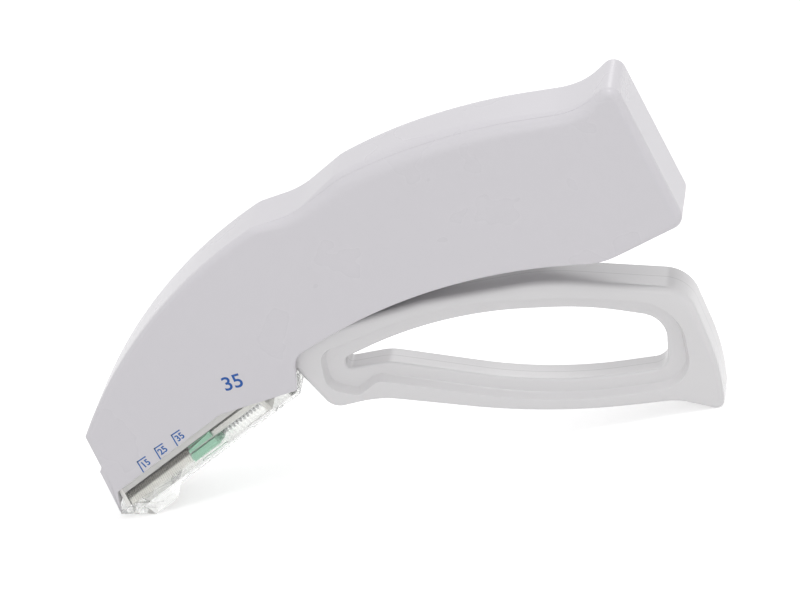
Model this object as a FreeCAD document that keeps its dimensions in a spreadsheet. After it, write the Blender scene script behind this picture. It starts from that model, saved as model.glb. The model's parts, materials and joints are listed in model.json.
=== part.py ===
"""Disposable skin stapler with 35 wide staples.

The stapler is drawn as it stands on the skin: the foot's underside is the
plane z = 0 and its heel is x = 0.  X runs from the nose to the rear, Y runs
across the width and Z is up.  Two slanted frames start at the crown of the
loaded staple: "feed" follows the row of staples and "fire" follows the
driver.  One common placement then stands the whole stapler on its heel and
on the tail of its lever, centred over the origin.
"""
import FreeCAD, Part
import math
import os
import Sketcher

Vector = FreeCAD.Vector
ACROSS = Vector(0, 1, 0)
doc = FreeCAD.newDocument("skin_stapler")
sizes = doc.addObject("Spreadsheet::Sheet", "sizes")

# Driving dimensions in mm and degrees
SIZES = {
    # Main sizes, measured from the heel of the foot with the foot flat on the skin
    "grip_length": 139.6,  # to the heel of the palm
    "grip_height": 85.4,  # up to the heel of the palm
    "lever_length": 146.8,  # to the tail of the lever
    "lever_height": 30.0,  # up to the tail of the lever

    # Housing: widths and walls
    "cover_depth": 1.8,  # thickness of the left cover, up to the seam
    "magazine_gap": 0.3,  # between the magazine and the shells beside it
    "side_wall": 1.8,  # flat wall of the right housing
    "rim_wall": 1.6,  # wall around the edge of the right housing
    "edge_round": 1.5,  # rounding between the side faces and the edge

    # Staples and the two slanted frames
    "feed_angle": 39,  # rise of the staple row
    "fire_angle": 20.2,  # lean of the driver towards the nose
    "wire": 0.56,  # wire diameter
    "staple_width": 12.3,  # over both legs
    "staple_leg": 4.2,  # from the crown's centre line to the tip
    "staple_bend": 0.7,  # bend radius of the wire's centre line
    "staple_gap": 0.02,  # between neighbouring staples
    "staple_count": 34,  # waiting behind the loaded one
    "slide_gap": 0.2,  # running clearance of sliding pieces
    "end_gap": 0.02,  # between a spring's last turn and its seat
    "straight_share": 0.001,  # of a side, left straight between two roundings
    "cut_through": 1.8,  # how far cutting shapes reach past what they cut
    "pin_gap": 0.1,  # running clearance of pins
    "seat_gap": 0.03,  # around pins that sit still

    # Magazine
    "channel_gap": 0.05,  # beside the staples
    "magazine_wall": 0.7,
    "magazine_top": 3.6,  # height of the clear walls above the crowns
    "magazine_floor": 6.1,  # depth of the underside below the crowns
    "floor_wall": 0.8,
    "roof_start": 37.0,
    "roof_start_up": 4.4,
    "end_slant": 1.4,  # how far the upper end stands out past the lower one
    "roof_end_down": 2.6,
    "magazine_length": 55.2,
    "neck_start": 13.2,
    "neck_end": 10.6,
    "neck_down": 8.2,
    "foot_front": 9.3,
    "lip_height": 1.3,
    "face_front": 0.35,  # the clear front face, ahead of the blade's middle
    "face_low": 3.4,  # its lower end, below the crown
    "lip_rear": 7.9,  # rear end of the lip, ahead of the heel
    "slot_front": 0.6,  # front of the driver's slot, ahead of the blade's middle
    "slot_rear": 0.45,

    # Track, anvil and leaf springs
    "track_start": 1.2,
    "track_end": 46,
    "track_leg": 1.5,  # thickness of the leg at its rear end
    "track_side_gap": 0.39,  # between the track and the legs of the staples
    "track_thickness": 1.5,
    "track_gap": 0.12,  # between the crowns and the track
    "anvil_width": 5.8,
    "anvil_length": 10,
    "anvil_thickness": 1.0,
    "anvil_front": 0.35,  # ahead of the blade's middle
    "anvil_step": 1.0,
    "anvil_foot": 3.4,  # rear face of the anvil's foot
    "strip_thickness": 0.3,
    "strip_rise": 0.42,  # above the crowns
    "strip_start": 2.6,
    "strip_short": 2,  # how far the strip ends before the track
    "leaf_thickness": 0.15,
    "leaf_width": 3,
    "leaf_start": 1.2,
    "leaf_end": 13,

    # Follower, feed spring and rod
    "follower_length": 7.6,
    "follower_gap": 0.3,  # between the follower and the channel's walls
    "follower_depth": 4.4,  # below the crowns
    "tongue_width": 4,
    "tongue_depth": 5.1,
    "tongue_length": 3,
    "follower_notch": 3.3,  # room for the anvil's foot
    "follower_rise": 0.35,
    "rod_radius": 0.6,
    "rod_down": 3.75,  # depth of the rod below the crowns
    "rod_start": 1.6,
    "feed_spring_radius": 1.1,  # to the wire's middle
    "feed_spring_wire": 0.34,
    "feed_spring_pitch": 1.15,
    "end_lip": 0.4,  # of the magazine, behind the cap
    "cap_length": 2,
    "cap_depth": 3.1,

    # Driver
    "blade_thickness": 0.56,
    "blade_low": 1.7,  # lower edge above the crown at rest
    "blade_top": 15.5,
    "fork_depth": 6.7,
    "fork_gap": 7.0,  # between the legs of the fork
    "guide_front": 1.5,
    "guide_rear": 0.38,
    "guide_low": -3.2,
    "guide_top": 8.6,
    "carrier_low": 11.5,
    "carrier_shelf": 15.5,
    "carrier_width": 11,
    "carrier_depth": 6,
    "head_top": 22.2,
    "head_front": 2.6,
    "head_slant": 19.5,
    "head_rear": 8.6,
    "head_width": 4.4,

    # Lever and pins
    "pivot_radius": 1.5,
    "spacer_radius": 4,  # rings that keep the lever in the middle
    "spacer_gap": 0.3,  # between the rings and the lever
    "pivot_seat": 1.1,  # depth of the pin's seats in the shells
    "boss_radius": 6.2,
    "drive_pin_out": 4,  # distance of the drive pin behind the blade
    "drive_pin_up": 20,  # height of the drive pin above the crown
    "drive_pin_radius": 1.25,
    "slot_run": 1.9,  # how far the drive pin moves along the slot
    "arm_tip_radius": 2.6,
    "arm_root": 4.6,  # half the arm's height at the pivot
    "arm_step": 1.05,  # how far the arm stands back from the lever's side
    "head_gap": 0.25,  # between the arm's fork and the driver's head
    "fork_arm_length": 15,
    "lever_gap": 0.95,  # between the lever and the shells beside it
    "recess_depth": 2.45,
    "lever_round": 0.8,

    # Return spring, click spring and the posts that hold them
    "spring_lean": 20.6,  # lean of the return spring towards the nose
    "spring_length": 17,
    "spring_radius": 2.6,  # to the wire's middle
    "spring_wire": 0.8,
    "spring_pitch": 2.4,
    "spring_seat_height": 2.2,
    "seat_root": 4,  # depth of the spring seat inside the lever
    "spring_post": 3,
    "spring_post_width": 7,
    "peg_radius": 1.6,
    "peg_depth": 6,
    "socket_wall": 1.2,
    "click_lean": 31.2,  # slope of the lever arm's upper edge
    "click_post_radius": 1.6,
    "click_thickness": 0.3,
    "click_width": 6,
    "click_length": 12,
    "spring_seat_radius": 3.4,
}

# Corners of the outlines: x, z, the radius of the rounding there, and the
# point that x and z are measured from where that isn't the heel of the foot
CORNERS = {
    # Housing: outline seen from the side
    "brow": (-16.3, 23.9),
    "forehead": (-2.0, 59.8, 132),
    "shoulder": (30.5, 84.2, 8),
    "saddle": (41.6, 88.2, 20),
    "back_start": (52.5, 98.3, 16),
    "back": (76.0, 111.3, 130),
    "horn_foot": (-25.6, 31.6, 20, "rear"),
    "horn": (-16.3, 40.2, 3.2, "rear"),
    "heel": (0, 0, 3.6, "rear"),
    "palm_rear": (-21.3, -10.9, 18, "rear"),
    "palm": (75.1, 71.2, 132),
    "chin": (39.2, 47.6, 5.5),
    "chin_foot": (39.0, 37.8),
    "window_rear": (18.9, 30.7),
    "window_front": (-7.2, 9.4),
    "nose_inner": (-9.3, 7.7),
    "nose_tip": (-8.9, 1.4),
    "nose_step": (-13.4, 13.6),
    "nose_step_top": (-12.9, 14.8),

    # Housing: opening on the underside, through which lever and magazine pass
    "open_front": (-2.5, 18.5),
    "open_pivot": (35.0, 52.5),
    "open_mid": (80.0, 72.5),
    "open_rear": (-27.6, -6.9, 0, "rear"),
    "open_heel": (-5.1, 0.1, 0, "rear"),

    # Staples and the two slanted frames
    "crown": (-7.2, 5.7),

    # Magazine
    "foot_rear": (5.5, 4.6),

    # Lever and pins
    "pivot": (30, 48),
    "lever_heel": (-4.7, 1.5, 0, "magazine_end"),
    "lever_throat": (2.7, 1.8, 2, "magazine_end"),
    "lever_foot": (11.9, -9.8, 4.5, "magazine_end"),
    "lever_bump": (59.5, 34.0, 25),
    "lever_belly": (102.7, 28.9, 170),
    "lever_dip": (-11.8, 3.0, 14, "lever_end"),
    "tail": (0, 0, 2.2, "lever_end"),
    "lever_rear": (-0.5, 12.5, 60, "lever_end"),
    "lever_crest": (-8.0, 35.2, 9, "lever_end"),
    "lever_back": (103.0, 67.8, 60),
    "lever_shelf": (72.0, 61.8, 40),
    "lever_collar": (50.0, 55.0, 20),
    "lever_neck": (33.0, 54.0),

    # Finger loop and the recess around it
    "loop_tip": (15.5, 3.9, 1.5, "magazine_end"),
    "loop_top": (76.3, 57.4, 100),
    "loop_back": (113.0, 59.2, 80),
    "loop_crest": (-13.9, 25.8, 7, "lever_end"),
    "loop_rear": (-13.9, 11.2, 4.5, "lever_end"),
    "loop_bottom": (103.0, 36.5, 115),
    "loop_bump": (62.3, 43.2, 12),
    "loop_low": (15.7, 0.6, 1.4, "magazine_end"),
    "recess_tip": (9.2, 6.6, 4.2, "magazine_end"),
    "recess_top": (77.5, 61.7, 95),
    "recess_back": (112.0, 63.1, 80),
    "recess_crest": (-10.2, 30.7, 12.5, "lever_end"),
    "recess_rear": (-7.4, 7.4, 9, "lever_end"),
    "recess_bottom": (103.5, 31.9, 115),
    "recess_bump": (59.5, 39.0, 3.5),
    "recess_dip": (54.3, 34.6, 2.2),
    "recess_low": (10.7, -3.8, 4.8, "magazine_end"),

    # Return spring, click spring and the posts that hold them
    "spring_foot": (56.0, 58.0),
    "peg_brow": (6, 54),
    "peg_shoulder": (36, 80),
    "peg_back": (70, 98),
    "peg_horn": (-27.6, 21.6, 0, "rear"),
    "click_post": (8.0, 42.45),
}

cells = dict(SIZES)
for name, corner in CORNERS.items():
    cells.update(zip((name + "_x", name + "_z", name + "_round"), corner[:3]))
for row, (name, value) in enumerate(cells.items(), start=1):
    sizes.set(f"A{row}", name)
    sizes.set(f"B{row}", str(value))
    sizes.setAlias(f"B{row}", name)
doc.recompute()


class Measure:
    """A length with its number and with the sheet formula that gives it."""

    def __init__(self, number, formula):
        self.number = number
        self.formula = formula

    def __add__(self, other):
        other = measure(other)
        return Measure(self.number + other.number, f"({self.formula} + {other.formula})")

    def __sub__(self, other):
        other = measure(other)
        return Measure(self.number - other.number, f"({self.formula} - {other.formula})")

    def __mul__(self, other):
        other = measure(other)
        return Measure(self.number * other.number, f"({self.formula} * {other.formula})")

    def __truediv__(self, other):
        other = measure(other)
        return Measure(self.number / other.number, f"({self.formula} / {other.formula})")

    def __neg__(self):
        return Measure(-self.number, f"(0 - {self.formula})")

    def __radd__(self, other):
        return measure(other) + self

    def __rsub__(self, other):
        return measure(other) - self


def measure(thing):
    """Turn a plain number into a Measure."""
    return thing if isinstance(thing, Measure) else Measure(float(thing), repr(float(thing)))


class Sheet:
    """The sheet's cells by name: dim.wire is the wire diameter."""

    def __getattr__(self, alias):
        return Measure(float(sizes.get(alias)), f"sizes.{alias}")


dim = Sheet()


def at(name):
    """The place of a corner in the use frame, and its rounding if it has one."""
    place = [getattr(dim, name + "_x"), getattr(dim, name + "_z")]
    rounding = CORNERS[name][2:3]
    if len(CORNERS[name]) == 4:
        place = [length + start for length, start in zip(place, datums[CORNERS[name][3]])]
    if any(rounding):
        place.append(getattr(dim, name + "_round"))
    return tuple(place)


def sine(angle):
    return Measure(math.sin(math.radians(angle.number)), f"sin({angle.formula})")


def cosine(angle):
    return Measure(math.cos(math.radians(angle.number)), f"cos({angle.formula})")


# Frames: where the slanted pieces start and how they lie
crown = at("crown")
crown_point = Vector(crown[0].number, 0, crown[1].number)
frames = {
    "use": FreeCAD.Placement(),
    "feed": FreeCAD.Placement(crown_point, FreeCAD.Rotation(ACROSS, -dim.feed_angle.number)),
    "fire": FreeCAD.Placement(crown_point, FreeCAD.Rotation(ACROSS, -dim.fire_angle.number)),
}
ON_SIDE = FreeCAD.Placement(Vector(), FreeCAD.Rotation(Vector(1, 0, 0), 90))


def lean_frame(place, angle):
    """A frame that starts at a place and leans about the width."""
    return FreeCAD.Placement(Vector(place[0].number, 0, place[1].number),
                             FreeCAD.Rotation(ACROSS, angle.number))


def from_use(frame, place):
    """The place of a use-frame point in a slanted frame."""
    angle = {"feed": -dim.feed_angle, "fire": -dim.fire_angle}[frame]
    out = place[0] - crown[0]
    up = place[1] - crown[1]
    return out * cosine(angle) - up * sine(angle), out * sine(angle) + up * cosine(angle)


def to_use(frame, place):
    """The place in the use frame of a point of a slanted frame."""
    angle = {"feed": dim.feed_angle, "fire": dim.fire_angle}[frame]
    out, up = measure(place[0]), measure(place[1])
    return (crown[0] + out * cosine(angle) - up * sine(angle),
            crown[1] + out * sine(angle) + up * cosine(angle))


# Datums: the points that some corners are measured from
datums = {
    "rear": (dim.grip_length, dim.grip_height),
    "lever_end": (dim.lever_length, dim.lever_height),
    "magazine_end": to_use("feed", (dim.magazine_length, 0)),
}
frames["spring"] = lean_frame(at("spring_foot"), -dim.spring_lean)
frames["click"] = lean_frame(at("click_post"), -dim.click_lean)


def bind(thing, prop, length):
    """Tie a property of an object to the sheet."""
    length = measure(length)
    thing.setExpression(prop, length.formula)
    return length.number


def outline(name, steps, frame="use", plane=ON_SIDE, closed=True):
    """An outline on the middle plane, drawn from corner to corner.

    A step is a corner's two measures, with the radius of its rounding where
    it has one.  Each rounding is an arc tangent to the lines beside it, made
    smaller where its neighbours leave less room.
    """
    sketch = doc.addObject("Sketcher::SketchObject", name)
    sketch.Placement = frames[frame].multiply(plane)
    places = [tuple(measure(part) for part in step) for step in steps]
    points = [Vector(place[0].number, place[1].number, 0) for place in places]
    count = len(points)
    sides = [(points[index] - points[index - 1]).Length for index in range(count)]
    openings = [(points[index - 1] - point).getAngle(points[(index + 1) % count] - point)
                for index, point in enumerate(points)]
    reaches = [place[2].number / math.tan(opening / 2) if len(place) == 3 else 0
               for place, opening in zip(places, openings)]
    straight = 1 - dim.straight_share.number
    room = [min(1, straight * sides[index] / (reaches[index] + reaches[index - 1]))
            if reaches[index] + reaches[index - 1] else 1 for index in range(count)]
    arrive, leave, arcs = [], [], []
    for index, place in enumerate(places):
        arc = None
        arrive.append(points[index])
        leave.append(points[index])
        if len(place) == 3:
            back = (points[index - 1] - points[index]).normalize()
            onward = (points[(index + 1) % count] - points[index]).normalize()
            fit = min(room[index], room[(index + 1) % count])
            radius = place[2] * fit if fit < 1 else place[2]
            reach = reaches[index] * fit
            arrive[index] = points[index] + back * reach
            leave[index] = points[index] + onward * reach
            inward = radius.number / math.sin(openings[index] / 2)
            centre = points[index] + (back + onward).normalize() * inward
            arc = (centre, radius, back.cross(onward).z < 0)
        arcs.append(arc)
    first_line = 0 if closed else 1
    lines = {index: sketch.addGeometry(Part.LineSegment(leave[index - 1], arrive[index]))
             for index in range(first_line, count)}
    for index, place in enumerate(places):
        before = lines.get(index)
        after = lines.get((index + 1) % count)
        if before is None or after is None:
            holder, mark = (after, 1) if before is None else (before, 2)
        elif arcs[index] is None:
            sketch.addConstraint(Sketcher.Constraint("Coincident", before, 2, after, 1))
            holder, mark = before, 2
        else:
            centre, radius, left_turn = arcs[index]
            first, last = (arrive[index], leave[index]) if left_turn else (leave[index], arrive[index])
            circle = Part.Circle(centre, Vector(0, 0, 1), radius.number)
            first_angle = math.atan2(first.y - centre.y, first.x - centre.x)
            last_angle = math.atan2(last.y - centre.y, last.x - centre.x)
            arc = sketch.addGeometry(Part.ArcOfCircle(circle, first_angle, last_angle))
            start_mark, end_mark = (1, 2) if left_turn else (2, 1)
            sketch.addConstraint(Sketcher.Constraint("Tangent", before, 2, arc, start_mark))
            sketch.addConstraint(Sketcher.Constraint("Tangent", arc, end_mark, after, 1))
            rounding = sketch.addConstraint(Sketcher.Constraint("Radius", arc, radius.number))
            sketch.setExpression(f"Constraints[{rounding}]", radius.formula)
            holder, mark = sketch.addGeometry(Part.Point(points[index]), True), 1
            sketch.addConstraint(Sketcher.Constraint("PointOnObject", holder, 1, before))
            sketch.addConstraint(Sketcher.Constraint("PointOnObject", holder, 1, after))
        for kind, length in (("DistanceX", place[0]), ("DistanceY", place[1])):
            tie = sketch.addConstraint(Sketcher.Constraint(kind, -1, 1, holder, mark, length.number))
            sketch.setExpression(f"Constraints[{tie}]", length.formula)
    return sketch


def slab(name, sketch, near, far):
    """The outline made solid from one depth across the width to another."""
    solid = doc.addObject("Part::Extrusion", name)
    solid.Base = sketch
    solid.DirMode = "Custom"
    solid.Dir = ACROSS
    solid.Solid = True
    solid.LengthFwd = bind(solid, "LengthFwd", far)
    solid.LengthRev = bind(solid, "LengthRev", -measure(near))
    return solid


def band(name, sketch, width):
    """The outline made solid over a width centred on the middle plane."""
    return slab(name, sketch, -(width / 2), width / 2)


def prism(name, steps, width, frame="use"):
    """A solid of an outline's shape, centred on the middle plane."""
    return band(name, outline(name + "_outline", steps, frame), width)


def block(name, start, end, bottom, top, near, far, frame="use"):
    """A box between stated depths, in one of the frames."""
    solid = doc.addObject("Part::Box", name)
    start, bottom, near = measure(start), measure(bottom), measure(near)
    solid.Length = bind(solid, "Length", measure(end) - start)
    solid.Width = bind(solid, "Width", measure(far) - near)
    solid.Height = bind(solid, "Height", measure(top) - bottom)
    corner_place = FreeCAD.Placement(Vector(start.number, near.number, bottom.number), FreeCAD.Rotation())
    solid.Placement = frames[frame].multiply(corner_place)
    return solid


def cross_rod(name, place, radius, near, far, frame="use"):
    """A round rod that runs across the width."""
    rod = doc.addObject("Part::Cylinder", name)
    near = measure(near)
    rod.Radius = bind(rod, "Radius", radius)
    rod.Height = bind(rod, "Height", measure(far) - near)
    x, z = measure(place[0]), measure(place[1])
    start = FreeCAD.Placement(Vector(x.number, near.number, z.number),
                              FreeCAD.Rotation(Vector(1, 0, 0), -90))
    rod.Placement = frames[frame].multiply(start)
    return rod


def long_rod(name, start, end, down, radius):
    """A round rod that runs along the row of staples."""
    rod = doc.addObject("Part::Cylinder", name)
    start = measure(start)
    rod.Radius = bind(rod, "Radius", radius)
    rod.Height = bind(rod, "Height", measure(end) - start)
    place = FreeCAD.Placement(Vector(start.number, 0, -measure(down).number),
                              FreeCAD.Rotation(ACROSS, 90))
    rod.Placement = frames["feed"].multiply(place)
    return rod


def coil(name, place, radius, wire, pitch, length):
    """A coil spring between two flat ends, drawn along a helix."""
    inset = wire / 2 + dim.end_gap
    path = doc.addObject("Part::Helix", name + "_path")
    path.Radius = bind(path, "Radius", radius)
    path.Pitch = bind(path, "Pitch", pitch)
    path.Height = bind(path, "Height", measure(length) - inset * 2)
    path.Placement = place.multiply(FreeCAD.Placement(Vector(0, 0, inset.number), FreeCAD.Rotation()))
    ring = doc.addObject("Part::Circle", name + "_wire")
    ring.Radius = bind(ring, "Radius", wire / 2)
    across_wire = FreeCAD.Placement(Vector(radius.number, 0, 0), FreeCAD.Rotation(Vector(1, 0, 0), 90))
    ring.Placement = path.Placement.multiply(across_wire)
    return sweep(name, ring, path)


def sweep(name, profile, path):
    """A profile drawn along a path."""
    doc.recompute()
    result = doc.addObject("Part::Sweep", name)
    result.Sections = [profile]
    result.Spine = (path, [f"Edge{number + 1}" for number in range(len(path.Shape.Edges))])
    result.Solid = True
    result.Frenet = True
    return result


def cut(name, base, tool):
    result = doc.addObject("Part::Cut", name)
    result.Base = base
    result.Tool = tool
    return result


def fuse(name, *pieces):
    result = doc.addObject("Part::MultiFuse", name)
    result.Shapes = list(pieces)
    result.Refine = True
    return result


def common(name, *pieces):
    result = doc.addObject("Part::MultiCommon", name)
    result.Shapes = list(pieces)
    return result


def rounded(name, base, radius, wanted):
    """Round the edges of a solid that the test picks out."""
    doc.recompute()
    result = doc.addObject("Part::Fillet", name)
    result.Base = base
    chosen = [number + 1 for number, edge in enumerate(base.Shape.Edges) if wanted(edge)]
    result.Edges = [(number, radius.number, radius.number) for number in chosen]
    return result


def middle_point(name):
    """A corner as a point of the middle plane, as the stapler is used."""
    x, z = at(name)[:2]
    return Vector(x.number, 0, z.number)


def rounding_centre(before, name, after):
    """The centre of the rounding at a corner between two others, as the stapler is used."""
    near, here, far = (middle_point(corner) for corner in (before, name, after))
    back, onward = (near - here).normalize(), (far - here).normalize()
    reach = at(name)[2].number / math.sin(back.getAngle(onward) / 2)
    return here + (back + onward).normalize() * reach


# Standing pose: the tail's rounding rests on the floor that the foot's heel
# touches, and the origin is midway between the brow and the heel of the palm
tail_centre = rounding_centre("lever_dip", "tail", "lever_rear")
stand_tilt = (math.atan2(tail_centre.z, tail_centre.x)
              - math.asin(dim.tail_round.number / tail_centre.Length))
tilted = FreeCAD.Rotation(ACROSS, math.degrees(stand_tilt))
brow_place = tilted.multVec(middle_point("brow"))
heel_place = tilted.multVec(rounding_centre("horn", "heel", "palm_rear"))
stand_x = -(brow_place.x + heel_place.x + dim.heel_round.number) / 2
standing = FreeCAD.Placement(Vector(stand_x, 0, 0), tilted)
sub_parts = []


def finished(label, thing):
    """Stand a finished sub-part in the common place and name it."""
    stood = doc.addObject("Part::Compound", label)
    stood.Links = [thing]
    stood.Label = label
    stood.Placement = standing
    sub_parts.append(stood)


# Depths across the width: the staples, and what lies beside them in turn
staple_side = dim.staple_width / 2
channel_side = staple_side + dim.channel_gap
magazine_side = channel_side + dim.magazine_wall
half_width = magazine_side + dim.magazine_gap + dim.cover_depth
seam = dim.cover_depth - half_width
inner_face = half_width - dim.side_wall
lever_side = inner_face - dim.lever_gap
spacer_face = lever_side + dim.spacer_gap
web_side = lever_side - dim.recess_depth
cheek = lever_side - dim.arm_step
head_side = dim.head_width / 2
track_side = staple_side - dim.wire - dim.track_side_gap
follower_side = channel_side - dim.follower_gap

# Housing
housing_outline = outline("housing_outline", [at(name) for name in (
    "brow", "forehead", "shoulder", "saddle", "back_start", "back", "horn_foot", "horn", "heel",
    "palm_rear", "palm", "chin", "chin_foot", "window_rear", "window_front", "nose_inner",
    "nose_tip", "nose_step", "nose_step_top")])
housing_block = band("housing_block", housing_outline, half_width * 2)


def top_edge(edge):
    """True for the long edges of the side faces from the brow to the heel."""
    box = edge.BoundBox
    on_side = box.YLength < 1e-6 and abs(abs(box.YMin) - half_width.number) < 1e-6
    middle = edge.valueAt((edge.FirstParameter + edge.LastParameter) / 2)
    brow, heel = at("brow"), at("heel")
    rise = (heel[1] - brow[1]) / (heel[0] - brow[0])
    line = brow[1] + rise * (measure(middle.x) - brow[0])
    return on_side and middle.z > line.number


housing_form = rounded("housing_form", housing_block, dim.edge_round, top_edge)

# Rooms inside the right housing: the cavity and the opening on its underside
inner_outline = doc.addObject("Part::Offset2D", "inner_outline")
inner_outline.Source = housing_outline
inner_outline.Join = 2
inner_outline.Value = bind(inner_outline, "Value", -dim.rim_wall)
cavity = slab("cavity", inner_outline, seam, inner_face)
opening = slab("opening", outline("opening_outline", [
    to_use("fire", (-dim.guide_front, dim.guide_low - dim.cut_through)),
    to_use("fire", (-dim.guide_front, dim.guide_top + dim.slide_gap * 2)),
    at("open_front"), at("open_pivot"), at("open_mid"), at("open_rear"), at("open_heel"),
    (at("open_heel")[0], at("open_heel")[1] - dim.grip_height)]), seam, inner_face)

# Pegs of the cover and their sockets in the right housing
peg_names = ("peg_brow", "peg_shoulder", "peg_back", "peg_horn")
peg_end = seam + dim.peg_depth
pegs = [cross_rod(name, at(name), dim.peg_radius, seam, peg_end) for name in peg_names]
sockets = [cross_rod(name + "_socket", at(name), dim.peg_radius + dim.pin_gap + dim.socket_wall,
                     seam + dim.slide_gap, inner_face) for name in peg_names]
socket_holes = [cross_rod(name + "_hole", at(name), dim.peg_radius + dim.pin_gap,
                          seam, peg_end + dim.slide_gap) for name in peg_names]

# Left cover
pin_seat_radius = dim.pivot_radius + dim.seat_gap
past_front, past_rear = -dim.grip_length, dim.grip_length * 2
below, above = -dim.grip_height, dim.grip_height * 2
left_plate = common("left_plate", housing_form,
                    block("left_half", past_front, past_rear, below, above, -half_width, seam))
left_spacer = cross_rod("left_spacer", at("pivot"), dim.spacer_radius, seam, -spacer_face)
left_seat = cross_rod("left_seat", at("pivot"), pin_seat_radius,
                      seam - dim.pivot_seat, -spacer_face)
finished("left_cover", cut("left_cover_form", fuse("left_cover_solid", left_plate, left_spacer, *pegs),
                           left_seat))

# Right housing
right_block = common("right_block", housing_form,
                     block("right_half", past_front, past_rear, below, above, seam, half_width))
right_shell = cut("right_shell", right_block, fuse("rooms", cavity, opening))
right_spacer = cross_rod("right_spacer", at("pivot"), dim.spacer_radius, spacer_face, inner_face)
right_seat = cross_rod("right_seat", at("pivot"), pin_seat_radius,
                       spacer_face, inner_face + dim.pivot_seat)
spring_end = dim.spring_seat_height + dim.spring_length
spring_post = block("spring_post_form", -dim.spring_seat_radius, dim.spring_seat_radius, spring_end,
                    spring_end + dim.spring_post, -(dim.spring_post_width / 2), inner_face, "spring")
click_post = cross_rod("click_post_form", at("click_post"), dim.click_post_radius,
                       -(dim.spring_post_width / 2), inner_face)
right_solid = fuse("right_solid", right_shell, right_spacer, spring_post, click_post, *sockets)
finished("right_housing", cut("right_housing_form", right_solid,
                              fuse("right_holes", right_seat, *socket_holes)))

# Pins
drive_place = to_use("fire", (dim.drive_pin_out, dim.drive_pin_up))
pin_reach = inner_face + dim.pivot_seat - dim.seat_gap
finished("pivot_pin", cross_rod("pivot_pin_form", at("pivot"), dim.pivot_radius, -pin_reach, pin_reach))
finished("drive_pin", cross_rod("drive_pin_form", drive_place, dim.drive_pin_radius, -cheek, cheek))

# Trigger lever
lever_block = band("lever_block", outline("lever_outline", [at(name) for name in (
    "lever_heel", "lever_throat", "lever_foot", "lever_bump", "lever_belly", "lever_dip", "tail",
    "lever_rear", "lever_crest", "lever_back", "lever_shelf", "lever_collar", "lever_neck")]),
    lever_side * 2)


def lever_edge(edge):
    """True for the edges of the lever's side faces behind its throat."""
    box = edge.BoundBox
    on_side = box.YLength < 1e-6 and abs(abs(box.YMin) - lever_side.number) < 1e-6
    middle = edge.valueAt((edge.FirstParameter + edge.LastParameter) / 2)
    return on_side and middle.x > at("lever_throat")[0].number


lever_body = rounded("lever_body", lever_block, dim.lever_round, lever_edge)
recess_outline = outline("recess_outline", [at(name) for name in (
    "recess_tip", "recess_top", "recess_back", "recess_crest", "recess_rear", "recess_bottom",
    "recess_bump", "recess_dip", "recess_low")])
left_recess = slab("left_recess", recess_outline, -lever_side, -web_side)
right_recess = slab("right_recess", recess_outline, web_side, lever_side)
finger_loop = band("finger_loop", outline("loop_outline", [at(name) for name in (
    "loop_tip", "loop_top", "loop_back", "loop_crest", "loop_rear", "loop_bottom", "loop_bump",
    "loop_low")]), lever_side * 2)
hand_piece = cut("hand_piece", lever_body, fuse("hollows", left_recess, right_recess, finger_loop))

# The lever's arm, from the pivot to the drive pin
arm_out = at("pivot")[0] - drive_place[0]
arm_up = at("pivot")[1] - drive_place[1]
arm_angle = Measure(math.degrees(math.atan2(arm_up.number, arm_out.number)),
                    f"atan2({arm_up.formula}; {arm_out.formula})")
frames["arm"] = lean_frame(drive_place, -arm_angle)
arm_length = arm_out * cosine(arm_angle) + arm_up * sine(arm_angle)
arm_bar = prism("arm_bar", [(0, -dim.arm_tip_radius), (arm_length, -dim.arm_root),
                            (arm_length, dim.arm_root), (0, dim.arm_tip_radius)],
                cheek * 2, "arm")
arm_tip = cross_rod("arm_tip", drive_place, dim.arm_tip_radius, -cheek, cheek)
boss = cross_rod("boss", at("pivot"), dim.boss_radius, -lever_side, lever_side)
spring_seat = doc.addObject("Part::Cylinder", "spring_seat")
spring_seat.Radius = bind(spring_seat, "Radius", dim.spring_seat_radius)
spring_seat.Height = bind(spring_seat, "Height", dim.spring_seat_height + dim.seat_root)
seat_root = FreeCAD.Placement(Vector(0, 0, -dim.seat_root.number), FreeCAD.Rotation())
spring_seat.Placement = frames["spring"].multiply(seat_root)
fork_room = block("fork_room", -dim.arm_root - dim.cut_through, dim.fork_arm_length,
                  -dim.arm_root - dim.cut_through, dim.arm_root + dim.cut_through,
                  -head_side - dim.head_gap, head_side + dim.head_gap, "arm")
pivot_hole = cross_rod("pivot_hole", at("pivot"), dim.pivot_radius + dim.pin_gap, -lever_side, lever_side)
drive_hole = cross_rod("drive_hole", drive_place, dim.drive_pin_radius + dim.seat_gap, -cheek, cheek)
lever_solid = fuse("lever_solid", hand_piece, boss, spring_seat, arm_bar, arm_tip)
finished("trigger_lever", cut("lever_form", lever_solid,
                              fuse("lever_holes", fork_room, pivot_hole, drive_hole)))

# Driver: blade with a fork at its lower end, and its carrier
blade_half = dim.blade_thickness / 2
blade_plate = block("blade_plate", -blade_half, blade_half, dim.blade_low, dim.blade_top,
                    -staple_side, staple_side, "fire")
fork_slot = block("fork_slot", -blade_half, blade_half, dim.blade_low, dim.blade_low + dim.fork_depth,
                  -(dim.fork_gap / 2), dim.fork_gap / 2, "fire")
finished("driver_blade", cut("blade_form", blade_plate, fork_slot))
shelf = block("shelf", blade_half, dim.carrier_depth, dim.carrier_low, dim.carrier_shelf,
              -(dim.carrier_width / 2), dim.carrier_width / 2, "fire")
head = prism("head", [(blade_half, dim.carrier_shelf), (dim.head_rear, dim.carrier_shelf),
                      (dim.head_rear, dim.head_top), (dim.head_front, dim.head_top),
                      (blade_half, dim.head_slant)], dim.head_width, "fire")
slot_half = dim.drive_pin_radius + dim.pin_gap
slot_end = dim.drive_pin_out + dim.slot_run
slot_start_round = cross_rod("slot_start_round", (dim.drive_pin_out, dim.drive_pin_up), slot_half,
                             -head_side, head_side, "fire")
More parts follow.
